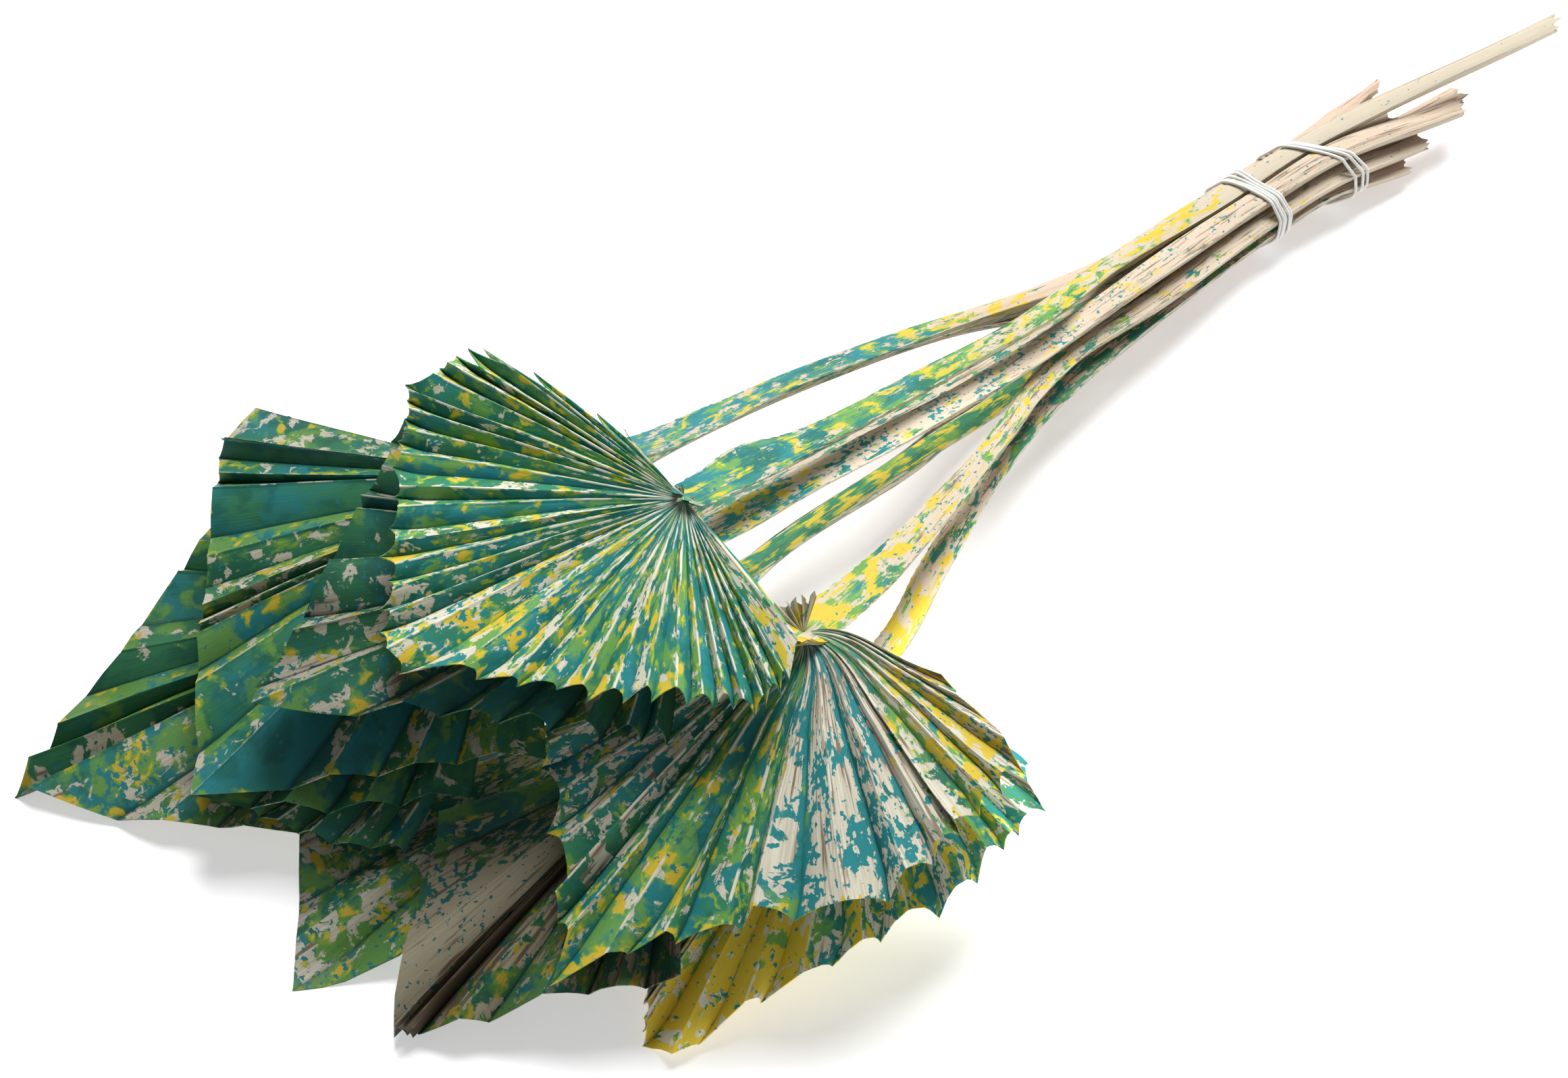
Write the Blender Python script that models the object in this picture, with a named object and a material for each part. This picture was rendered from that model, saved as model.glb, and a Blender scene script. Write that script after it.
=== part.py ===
"""A bunch of ten dried fan palm leaves, tied near the cut ends with two white elastic bands.

Every leaf is one piece: a pleated, spade-trimmed blade grown together with its flat stem.
The bunch lies on z = 0. +X runs along the bunch from the fans to the cut ends, +Y is its far side.
Lengths in the tables are millimetres and angles are degrees.
"""

import bmesh
import bpy
import numpy as np

MM = 0.001

# Where the drawing's origin, under the crown of the top fan, lies in the finished part.
SHIFT = (-103.3, -13.0, 0.0)

LEAF_ROUGHNESS = 0.55
BAND_COLOUR = (0.85, 0.85, 0.85)
BAND_ROUGHNESS = 0.6

# Blades. A pleat's openness is the share of its paper's width that it spans: 1 is flat and 0 is shut.
BLADE_THICKNESS = 0.8
HUB_RADIUS = 3.0
RADIAL_STATIONS = (0.0, 0.2, 0.45, 0.72, 1.0)
OUTLINE_UNEVEN = 1.3
OPEN_SPREAD = 0.10
OPEN_RANGE = (0.45, 0.95)
LEAST_OPEN = 0.3
SHUT_LOSS = 0.62
LEAST_OPEN_FOR_THICKNESS = 0.5

# The stems gather at the first station; the lower and upper bands are at the second and third.
GATHER_X = (172.0, 228.0, 252.0)
GATHER_Y = (18.0, 21.0, 19.5)
GATHER_LIFT = (4.0, 0.0, 0.8)
GATHER_LOOSE = (1.2, 1.0, 1.0)
COLUMN_PITCH = 7.6
ROW_PITCH = 4.6
FIRST_ROW_Z = 4.8
ROW_SIZES = (2, 3, 3, 2)

# Stems: flat bars with a hollow upper side, whose last stretch at the cut end is straight.
STEM_WIDTH_AT_TIE = 7.0
STEM_THICKNESS_AT_TIE = 4.2
STEM_THICKNESS = 5.0
HUB_WIDTH = 10.0
HUB_THICKNESS = 5.0
HUB_TIP_WIDTH = 5.0
HUB_TIP_THICKNESS = 3.0
HUB_REACH = 6.0
END_LENGTH = 10.0
STEM_STATIONS = 18
GATHER_KNOT = 4

# Places along a stem, from cut end (0) to crown (1), where it widens, is full width and is full thickness.
WIDENING = 0.75
WIDENING_SHARE = 0.9
FULL_WIDTH = 0.9
FULL_THICKNESS = 0.8
SECTION = np.array(
    [(-0.5, 0.0), (-0.405, -0.36), (-0.155, -0.58), (0.155, -0.58), (0.405, -0.36), (0.5, 0.0),
     (0.33, 0.30), (0.0, 0.18), (-0.33, 0.30)]
)

# Elastic bands: gathering station, turns and their spacing, and the plane's lean along X per unit of Y.
BAND_THICKNESS = 1.5
BAND_GAP = 0.42
BAND_STEPS = 30
BAND_SIDES = 6
BANDS = (
    dict(name="band_lower", station=1, turns=4, spacing=2.1, lean=-0.15),
    dict(name="band_upper", station=2, turns=3, spacing=2.3, lean=-0.55),
)

# How a leaf is given. crown: where blade and stem meet. heading: the midrib's, from +X; then its dip, and the
# roll that lifts the leaf's left side. cut: corners of the trimmed outline, right to left, as (angle from
# the midrib, length). droop: fall of the left and right side, as a share of radius. bow: fall of the tip, as
# a share of its length. curl turns the pleats' inner ends sideways. tight: shut pleats, as (place across the
# fan from 0 to 1, half width). via: points of the stem between crown and ties. width: its widest. slot: its
# row and column in the ties. butt: its cut end.
PLAIN_LEAF = dict(open=0.80, droop=(0.0, 0.0), bow=0.0, curl=0.0, tight=())
LEAF_SHAPES = (
    dict(name="leaf_a", colour=(0.10, 0.38, 0.22), seed=11,
         crown=(0, 0, 80), heading=168, dip=12, roll=-5, droop=(0.20, 0.0), bow=0.05,
         cut=((-77, 68), (-61, 79), (-28, 69), (-3, 78), (36, 50), (77, 52), (88, 47)),
         pleats=25, tight=((0.90, 0.05),),
         via=((72, 2, 56.5), (136, 16, 37.5)), width=10.0, slot=(3, 0), butt=(345, 5, 28)),
    dict(name="leaf_b", colour=(0.05, 0.30, 0.22), seed=12,
         crown=(-10, 47, 55), heading=176, dip=17, roll=-2, droop=(0.14, 0.02), bow=0.02,
         cut=((-62, 80), (-52, 84), (-24, 85), (4, 110), (17, 88), (32, 76), (54, 68)),
         pleats=17, tight=((0.12, 0.07),),
         via=((22, 35, 54), (80, 32, 43), (135, 28, 28)), width=9.0, slot=(2, 0), butt=(300, 32, 16)),
    dict(name="leaf_c", colour=(0.08, 0.33, 0.20), seed=13,
         crown=(-1, -2, 67), heading=160, dip=12, roll=-3, droop=(0.20, 0.02), bow=0.02,
         cut=((-57, 86), (-20, 90), (-6, 109), (8, 73), (43, 50), (60, 45)),
         pleats=17, open=0.78,
         via=((75, 3, 49), (130, 13, 30.5)), width=10.5, slot=(3, 1), butt=(300, 11, 16)),
    dict(name="leaf_d", colour=(0.10, 0.34, 0.20), seed=14,
         crown=(-30, 54, 25), heading=160, dip=11, roll=-6, droop=(0.0, 0.02),
         cut=((-46, 69), (-25, 75), (1, 118), (13, 99), (44, 71)),
         pleats=15,
         via=((34, 46, 30), (88, 41, 27), (140, 35, 16)), width=9.0, slot=(0, 0), butt=(289, 27, 2.2)),
    dict(name="leaf_e", colour=(0.36, 0.42, 0.28), seed=15,
         crown=(4, -36, 61), heading=196, dip=22, roll=-1, droop=(0.24, 0.0), bow=0.05, curl=0.25,
         cut=((-45, 64), (-26, 70), (-6, 95), (2, 78), (45, 63),
              (67, 57), (88, 56), (92, 51), (97, 38), (105, 32)),
         pleats=18, open=0.78, tight=((0.96, 0.06),),
         via=((49, -25, 50), (87, -12, 40), (125, 5, 26)), width=14.0, slot=(2, 2), butt=(298, 6, 12)),
    dict(name="leaf_f", colour=(0.55, 0.50, 0.12), seed=16,
         crown=(14, -44, 41), heading=196, dip=24, roll=2, droop=(0.25, 0.0), curl=0.1,
         cut=((-40, 60), (-11, 79), (1, 99), (14, 74), (48, 56), (78, 51), (88, 48), (95, 41)),
         pleats=20, open=0.78, tight=((0.5, 0.06),),
         via=((66, -22, 34), (123, 1, 19)), width=12.0, slot=(1, 2), butt=(291, 4, 7)),
    dict(name="leaf_g", colour=(0.38, 0.38, 0.26), seed=17,
         crown=(-24, -25, 35), heading=182, dip=19, roll=1, droop=(0.05, 0.0),
         cut=((-33, 60), (-18, 68), (-3, 94), (5, 82), (18, 67), (44, 57)),
         pleats=13, tight=((0.42, 0.05),),
         via=((27, 2, 36), (80, 6, 27), (128, 12, 16.5)), width=8.0, slot=(1, 1), butt=(311, 14, 9)),
    dict(name="leaf_h", colour=(0.30, 0.36, 0.18), seed=18,
         crown=(-18, -1, 21), heading=180, dip=12, roll=0,
         cut=((-28, 78), (-21, 88), (-1, 106), (7, 82), (30, 66)),
         pleats=11,
         via=((36, 12, 20), (87, 14, 15), (133, 21, 9)), width=8.0, slot=(0, 1), butt=(281, 16, 2.2)),
    dict(name="leaf_i", colour=(0.16, 0.34, 0.16), seed=19,
         crown=(-34, 24, 30.6), heading=170, dip=15, roll=-6, droop=(0.05, 0.0),
         cut=((-30, 68), (-18, 76), (-3, 74), (16, 62), (28, 55)),
         pleats=14,
         via=((30, 24, 35), (86, 19, 30), (138, 23, 19)), width=9.0, slot=(2, 1), butt=(286, 19, 14.0)),
    dict(name="leaf_j", colour=(0.06, 0.28, 0.14), seed=20,
         crown=(-14, 47, 46), heading=176, dip=17, roll=-2, droop=(0.08, 0.0),
         cut=((-68, 71), (-50, 74), (-14, 86), (3, 103), (23, 83), (42, 71)),
         pleats=15,
         via=((28, 42, 43), (84, 37, 35), (138, 32, 22)), width=9.0, slot=(1, 0), butt=(292, 29, 11)),
)
LEAVES = tuple({**PLAIN_LEAF, **shape} for shape in LEAF_SHAPES)


def rotation(heading, dip, roll):
    """Matrix from a leaf's own axes (x midrib, y left, z up) to the bunch's: roll, then dip, then heading."""
    a, b, c = np.radians((heading, dip, roll))
    turn = np.array([[np.cos(a), -np.sin(a), 0], [np.sin(a), np.cos(a), 0], [0, 0, 1]])
    pitch = np.array([[np.cos(b), 0, np.sin(b)], [0, 1, 0], [-np.sin(b), 0, np.cos(b)]])
    bank = np.array([[1, 0, 0], [0, np.cos(c), -np.sin(c)], [0, np.sin(c), np.cos(c)]])
    return turn @ pitch @ bank


def outline_radius(leaf, angle):
    """Length of the blade at each angle from the midrib: straight cuts between the outline's corners.

    The cut through corners (a, p) and (b, q) is r = p q sin(b - a) / (p sin(t - a) + q sin(b - t)).
    """
    corners = np.array(leaf["cut"], float)
    at = np.radians(corners[:, 0])
    piece = np.clip(np.searchsorted(at, angle, side="right") - 1, 0, len(at) - 2)
    a, b, p, q = at[piece], at[piece + 1], corners[piece, 1], corners[piece + 1, 1]
    return p * q * np.sin(b - a) / (p * np.sin(angle - a) + q * np.sin(b - angle))


def fold_lines(leaf):
    """The folds' angles, heights per unit of radius (+ ridge, - valley), openness and lengths."""
    rng = np.random.default_rng(leaf["seed"])
    count = leaf["pleats"]
    place = (np.arange(count) + 0.5) / count
    openness = np.clip(rng.normal(leaf["open"], OPEN_SPREAD, count), *OPEN_RANGE)
    for where, half in leaf["tight"]:
        openness *= 1 - SHUT_LOSS * np.exp(-(((place - where) / half) ** 2))
    openness = np.maximum(openness, LEAST_OPEN)
    strips = np.repeat(openness, 2)
    first, last = np.radians((leaf["cut"][0][0], leaf["cut"][-1][0]))
    angle = first + (last - first) * np.concatenate([[0.0], np.cumsum(strips)]) / strips.sum()
    tip = np.radians(max(leaf["cut"], key=lambda corner: corner[1])[0])
    angle[np.argmin(np.abs(angle - tip))] = tip
    rise = (last - first) / strips.sum() * np.sqrt(1 - openness**2)
    height = np.empty(2 * count + 1)
    height[1::2] = rise / 2
    height[2:-1:2] = -(rise[:-1] + rise[1:]) / 4
    height[0], height[-1] = -rise[0] / 2, -rise[-1] / 2
    near = np.empty(2 * count + 1)
    near[1::2] = openness
    near[2:-1:2] = np.minimum(openness[:-1], openness[1:])
    near[0], near[-1] = openness[0], openness[-1]
    length = outline_radius(leaf, angle) + rng.normal(0, OUTLINE_UNEVEN, 2 * count + 1)
    return angle, height, near, length


def blade_points(leaf, angle, height, radius, length):
    """Points of the blade's middle sheet in the bunch's frame.

    z = height r - droop r (angle / last angle)^2 - bow r^2 / tip, and curl turns the pleats near the crown.
    """
    first, last = np.radians((leaf["cut"][0][0], leaf["cut"][-1][0]))
    share = np.where(angle >= 0, angle / last, angle / first)
    droop = np.where(angle >= 0, leaf["droop"][0], leaf["droop"][1])
    bent = angle * (1 + leaf["curl"] * np.clip(1 - radius / np.maximum(length, 1), 0, 1) ** 2)
    x = radius * np.cos(bent)
    y = radius * np.sin(bent)
    tip = max(corner[1] for corner in leaf["cut"])
    fall = droop * radius * share**2 + leaf["bow"] * radius**2 / tip
    z = height * radius - fall
    local = np.stack([x, y, z], -1)
    return local @ rotation(leaf["heading"], leaf["dip"], leaf["roll"]).T + np.array(leaf["crown"], float)


def blade_mesh(leaf):
    """Vertices and faces of the blade as one closed sheet with thickness, its lowest parts flat on z = 0."""
    angle, height, near, length = fold_lines(leaf)
    share = np.array(RADIAL_STATIONS)[:, None]
    radius = HUB_RADIUS + (length[None, :] - HUB_RADIUS) * share
    middle = blade_points(leaf, angle[None, :], height[None, :], radius, length[None, :])
    normal = rotation(leaf["heading"], leaf["dip"], leaf["roll"])[:, 2]
    half = (BLADE_THICKNESS / 2 / np.maximum(near, LEAST_OPEN_FOR_THICKNESS))[None, :, None]
    top, bottom = middle + normal * half, middle - normal * half
    bottom[..., 2] = np.maximum(bottom[..., 2], 0.0)
    top[..., 2] = np.maximum(top[..., 2], BLADE_THICKNESS)
    rows, cols = radius.shape
    index = np.arange(rows * cols).reshape(rows, cols)
    upper = grid_faces(index)
    lower = [face[::-1] for face in grid_faces(index + rows * cols)]
    rim = np.concatenate([index[0, :], index[1:, -1], index[-1, -2::-1], index[-2:0:-1, 0]])
    other = rim + rows * cols
    after = np.roll(np.arange(len(rim)), -1)
    sides = []
    for i, j in enumerate(after):
        sides.append((rim[i], rim[j], other[j]))
        sides.append((rim[i], other[j], other[i]))
    points = np.concatenate([top.reshape(-1, 3), bottom.reshape(-1, 3)])
    return points, upper + lower + sides


def grid_faces(index):
    """Triangles of a grid of vertices, the cells split towards each fold's outer end."""
    faces = []
    for i in range(index.shape[0] - 1):
        for j in range(index.shape[1] - 1):
            a, b, c, d = index[i, j], index[i + 1, j], index[i + 1, j + 1], index[i, j + 1]
            if j % 2:
                faces.append((a, b, c))
                faces.append((a, c, d))
            else:
                faces.append((a, b, d))
                faces.append((b, c, d))
    return faces


def smooth_path(points, first, last, count, kept):
    """Hermite curve through the points (Catmull-Rom tangents inside, given ones at the ends).

    Returns count evenly spaced points of it and the kept ones, their directions, their places along it (0..1)
    and the places of the points that it runs through.
    """
    points = np.array(points, float)
    step = np.linalg.norm(np.diff(points, axis=0), axis=1)
    slope = np.diff(points, axis=0) / step[:, None]
    tangent = np.empty_like(points)
    tangent[1:-1] = slope[:-1] * step[1:, None] + slope[1:] * step[:-1, None]
    tangent[1:-1] /= (step[:-1] + step[1:])[:, None]
    tangent[0], tangent[-1] = first, last
    at = np.concatenate([[0.0], np.cumsum(step)])
    where = np.unique(np.concatenate([np.linspace(0, at[-1], count), at[kept]]))
    piece = np.clip(np.searchsorted(at, where, side="right") - 1, 0, len(step) - 1)
    t = ((where - at[piece]) / step[piece])[:, None]
    d = step[piece][:, None]
    a, b = points[piece], points[piece + 1]
    m, n = tangent[piece] * d, tangent[piece + 1] * d
    ease = 3 * t**2 - 2 * t**3
    curve = (1 - ease) * a + ease * b + (t**3 - 2 * t**2 + t) * m + (t**3 - t**2) * n
    speed = 6 * (t - t**2) * (b - a) + (3 * t**2 - 4 * t + 1) * m + (3 * t**2 - 2 * t) * n
    return curve, speed / np.linalg.norm(speed, axis=1)[:, None], where / at[-1], at / at[-1]


def slot_point(slot, station):
    """Where a stem passes a gathering station: row from the bottom, column from the far side."""
    row, column = slot
    across = COLUMN_PITCH * ((ROW_SIZES[row] - 1) / 2 - column)
    loose = GATHER_LOOSE[station]
    height = FIRST_ROW_Z + GATHER_LIFT[station] + loose * ROW_PITCH * row
    return np.array([GATHER_X[station], GATHER_Y[station] + loose * across, height])


def stem_path(leaf):
    """The stem's centre line from its cut end to the crown. A cut end low enough to touch z = 0 is level."""
    crown = np.array(leaf["crown"], float)
    midrib = rotation(leaf["heading"], leaf["dip"], leaf["roll"])[:, 0]
    butt = np.array(leaf["butt"], float)
    inward = slot_point(leaf["slot"], 2) - butt
    if butt[2] < STEM_THICKNESS_AT_TIE:
        inward[2] = 0
    inward /= np.linalg.norm(inward)
    points = [butt, butt + END_LENGTH * inward]
    points += [slot_point(leaf["slot"], station) for station in (2, 1, 0)]
    points += list(reversed(leaf["via"]))
    points += [crown - HUB_REACH * midrib, crown + HUB_REACH * midrib]
    return smooth_path(points, inward, midrib, STEM_STATIONS, [1, 2, 3, GATHER_KNOT, -2])


def stem_mesh(leaf):
    """Vertices and faces of the stem: a flat, channelled bar from cut end to crown, nowhere under z = 0."""
    curve, tangent, where, knots = stem_path(leaf)
    gather, hub = knots[GATHER_KNOT], knots[-2]
    blade_up = rotation(leaf["heading"], leaf["dip"], leaf["roll"])[:, 2]
    blend = np.clip((where - gather) / (hub - gather), 0, 1)[:, None]
    blend = blend**2 * (3 - 2 * blend)
    up = (1 - blend) * np.array([0.0, 0.0, 1.0]) + blend * blade_up
    side = np.cross(up, tangent)
    side /= np.linalg.norm(side, axis=1)[:, None]
    up = np.cross(tangent, side)
    width = np.interp(
        where,
        [gather, WIDENING, FULL_WIDTH, hub, 1],
        [STEM_WIDTH_AT_TIE, WIDENING_SHARE * leaf["width"], leaf["width"], HUB_WIDTH, HUB_TIP_WIDTH],
    )
    thick = np.interp(
        where,
        [gather, FULL_THICKNESS, hub, 1],
        [STEM_THICKNESS_AT_TIE, STEM_THICKNESS, HUB_THICKNESS, HUB_TIP_THICKNESS],
    )
    ring = SECTION[None, :, :]
    points = (curve[:, None, :] + side[:, None, :] * (ring[..., :1] * width[:, None, None])
              + up[:, None, :] * (ring[..., 1:] * thick[:, None, None]))
    points[..., 2] = np.maximum(points[..., 2], 0.0)
    return points.reshape(-1, 3), tube_faces(*points.shape[:2])


def hull(points):
    """Corners of the convex hull of 2-D points, anticlockwise."""
    points = sorted(map(tuple, points))
    sides = []
    for run in (points, points[::-1]):
        side = []
        for p in run:
            while len(side) > 1:
                a, b = side[-2], side[-1]
                if (b[0] - a[0]) * (p[1] - a[1]) - (b[1] - a[1]) * (p[0] - a[0]) > 0:
                    break
                side.pop()
            side.append(p)
        sides += side[:-1]
    return np.array(sides)


def stem_crossings(band, offset):
    """The (y, z) points where the stems' lengthwise edges pass the band's plane, moved along X by offset."""
    x0, y0 = GATHER_X[band["station"]], GATHER_Y[band["station"]]
    found = []
    for leaf in LEAVES:
        edges = stem_mesh(leaf)[0].reshape(-1, len(SECTION), 3).transpose(1, 0, 2)
        for edge in edges:
            ahead = edge[:, 0] - x0 - offset - band["lean"] * (edge[:, 1] - y0)
            for i in np.nonzero(ahead[:-1] * ahead[1:] <= 0)[0]:
                share = ahead[i] / (ahead[i] - ahead[i + 1])
                found.append((edge[i] * (1 - share) + edge[i + 1] * share)[1:])
    return found


def band_path(band):
    """Centre line of the elastic, wound round the stems' hull one gap away, and the outward directions."""
    half = band["turns"] * band["spacing"] / 2
    corners = hull(stem_crossings(band, -half) + stem_crossings(band, half))
    count = band["turns"] * BAND_STEPS + 1
    turn = np.linspace(0, band["turns"], count)
    angle = 2 * np.pi * turn - np.pi / 2
    out = np.stack([np.cos(angle), np.sin(angle)], 1)
    rest = corners[np.argmax(out @ corners.T, axis=1)]
    yz = rest + out * (BAND_GAP + BAND_THICKNESS / 2)
    station = band["station"]
    x = GATHER_X[station] + band["lean"] * (yz[:, 0] - GATHER_Y[station]) + band["spacing"] * turn - half
    return np.column_stack([x, yz]), np.column_stack([np.zeros(count), out])


def band_mesh(band):
    """Vertices and faces of the elastic as one closed cord."""
    centre, out = band_path(band)
    tangent = np.gradient(centre, axis=0)
    tangent /= np.linalg.norm(tangent, axis=1)[:, None]
    side = np.cross(tangent, out)
    side /= np.linalg.norm(side, axis=1)[:, None]
    out = np.cross(side, tangent)
    angle = 2 * np.pi * np.arange(BAND_SIDES) / BAND_SIDES
    ring = np.cos(angle)[:, None] * out[:, None, :] + np.sin(angle)[:, None] * side[:, None, :]
    points = centre[:, None, :] + BAND_THICKNESS / 2 * ring
    return points.reshape(-1, 3), tube_faces(len(centre), BAND_SIDES)


def tube_faces(count, sides):
    """Triangles of a closed tube of count rings, with flat ends."""
    index = np.arange(count * sides).reshape(count, sides)
    faces = []
    for i in range(count - 1):
        for j in range(sides):
            k = (j + 1) % sides
            faces.append((index[i, j], index[i + 1, k], index[i + 1, j]))
            faces.append((index[i, j], index[i, k], index[i + 1, k]))
    for j in range(1, sides - 1):
        faces.append((index[0, 0], index[0, j + 1], index[0, j]))
        faces.append((index[-1, 0], index[-1, j], index[-1, j + 1]))
    return faces


def make_material(name, colour, roughness):
    material = bpy.data.materials.new(name)
    material.use_nodes = True
    shader = material.node_tree.nodes["Principled BSDF"]
    shader.inputs["Base Color"].default_value = (*colour, 1.0)
    shader.inputs["Roughness"].default_value = roughness
    return material


def make_object(name, points, faces):
    mesh = bpy.data.meshes.new(name)
    mesh.from_pydata((points + SHIFT) * MM, [], [tuple(map(int, face)) for face in faces])
    mesh.validate()
    work = bmesh.new()
    work.from_mesh(mesh)
    bmesh.ops.recalc_face_normals(work, faces=work.faces)
    work.to_mesh(mesh)
    work.free()
    obj = bpy.data.objects.new(name, mesh)
    bpy.context.scene.collection.objects.link(obj)
    return obj


def join(obj, other):
    """Unites obj with other in one closed body, and removes other."""
    union = obj.modifiers.new("grown_together", "BOOLEAN")
    union.operation = "UNION"
    union.solver = "EXACT"
    union.use_self = True
    union.object = other
    bpy.context.view_layer.update()
    graph = bpy.context.evaluated_depsgraph_get()
    whole = bpy.data.meshes.new_from_object(obj.evaluated_get(graph))
    obj.modifiers.clear()
    obj.data = whole
    bpy.data.objects.remove(other)


def build_leaf(leaf):
    obj = make_object(leaf["name"], *blade_mesh(leaf))
    join(obj, make_object(leaf["name"] + "_stem", *stem_mesh(leaf)))
    obj.data.materials.clear()
    obj.data.materials.append(make_material(leaf["name"], leaf["colour"], LEAF_ROUGHNESS))
    return obj


def build_band(band):
    obj = make_object(band["name"], *band_mesh(band))
    obj.data.materials.append(make_material(band["name"], BAND_COLOUR, BAND_ROUGHNESS))
    obj.data.shade_smooth()
    return obj


def main():
    for obj in list(bpy.data.objects):
        bpy.data.objects.remove(obj)
    for leaf in LEAVES:
        build_leaf(leaf)
    for band in BANDS:
        build_band(band)


if __name__ == "__main__":
    main()
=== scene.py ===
"""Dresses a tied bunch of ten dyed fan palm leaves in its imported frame.

Every blade is a pleated sheet whose folds were set out for this bunch, closed and thin; every stem is a fibrous
channelled bar with a torn cut end; two white elastic cords tie the bunch. Lengths in the tables are millimetres
and angles are degrees. +X runs along the bunch from the fans to the cut ends, +Y is its far side.
"""

import bpy
import numpy as np
from bpy.props import FloatProperty, FloatVectorProperty, PointerProperty
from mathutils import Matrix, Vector


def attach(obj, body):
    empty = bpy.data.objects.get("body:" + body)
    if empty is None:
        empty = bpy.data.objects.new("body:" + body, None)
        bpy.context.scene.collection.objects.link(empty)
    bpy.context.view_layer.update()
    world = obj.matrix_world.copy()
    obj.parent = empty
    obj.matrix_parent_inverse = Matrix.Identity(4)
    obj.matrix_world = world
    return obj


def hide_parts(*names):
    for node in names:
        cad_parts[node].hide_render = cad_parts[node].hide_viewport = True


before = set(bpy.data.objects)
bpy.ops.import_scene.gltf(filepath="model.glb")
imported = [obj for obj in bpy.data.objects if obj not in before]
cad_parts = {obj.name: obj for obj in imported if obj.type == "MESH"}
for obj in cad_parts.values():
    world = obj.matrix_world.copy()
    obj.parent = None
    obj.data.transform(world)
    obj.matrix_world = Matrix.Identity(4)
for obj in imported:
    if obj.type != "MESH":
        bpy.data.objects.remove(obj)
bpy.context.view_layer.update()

bl_info = {
    "name": "Dyed fan palm bunch",
    "version": (1, 0, 0),
    "blender": (4, 5, 0),
    "location": "View3D > Sidebar > Palm bunch",
    "description": "Builds the pleated leaves, stems and elastic ties of a dyed fan palm bunch",
    "category": "Add Mesh",
}

MM = 0.001
SHIFT = np.array((-103.3, -13.0, 0.0))
HUB_RADIUS = 0.5

# Where the stems gather (first station) and are tied (second and third).
GATHER_X = (172.0, 228.0, 252.0)
GATHER_Y = (18.0, 21.0, 19.5)
GATHER_LIFT = (4.0, 0.0, 0.8)
GATHER_LOOSE = (1.2, 1.0, 1.0)
COLUMN_PITCH = 7.6
ROW_PITCH = 4.6
FIRST_ROW_Z = 4.8
ROW_SIZES = (2, 3, 3, 2)
STEM_THICKNESS = ((0, 1.2), (6, 1.7), (30, 2.2), (80, 2.9), (140, 3.3), (190, 4.2))
LEVEL_BELOW = 4.2
END_LENGTH = 10.0
GATHER_KNOT = 4
SECTION_STEPS = 13

# Columns across a strip of a fold: near the ridge at (mm, at most this share of the strip), then shares to the valley.
NEAR_RIDGE = ((0.0, 0.0), (0.25, 0.10), (0.5, 0.22), (0.9, 0.36))
TO_VALLEY = (0.55, 0.76, 0.91, 1.0)
BLADE_ROWS = 56
STEM_RINGS = 330

# Leaf table. crown, heading, dip, roll, droop, bow, curl and cut are the solids' values, and so is slot. The look:
# via and butt (points of the stem's centre line and its cut end), folds (angles of the folds from one edge of the fan to the other, a valley first unless edge_ridge), paper (angle
# of paper in a strip), round (how rounded the ridges are at the rim, 0 to 1), scallop (how far the rim swings
# between the valleys' tips and the ridges, mm), hook (how far the tips lean over, mm), twist (further turn of
# the pleats near the crown, degrees), sway, ribs (bare ridges, 0 to
# 1), slant (of the cut end, mm), widths (of the stem, by mm from the crown), lip and lip_up (how far its tongue
# reaches over the fan and curls up, mm), teeth (on its edges, mm), wing (torn bulge of its far edge, mm), short (folds
# that end early, with their length in mm), frills (of build_frill).
PLAIN_LEAF = dict(droop=(0.0, 0.0), bow=0.0, curl=0.0, twist=0.0, edge_ridge=False, paper=4.2, round=0.3, scallop=1.2, hook=0.4,
                  sway=0.10, ribs=0.6, slant=2.0, lip=1.5, lip_up=0.4, teeth=0.0, wing=0.0, short=(), frills=(),
                  widths=((0, 8.0), (60, 6.8), (220, 6.8)),
                  slot_name="leaf_teal")
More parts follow.
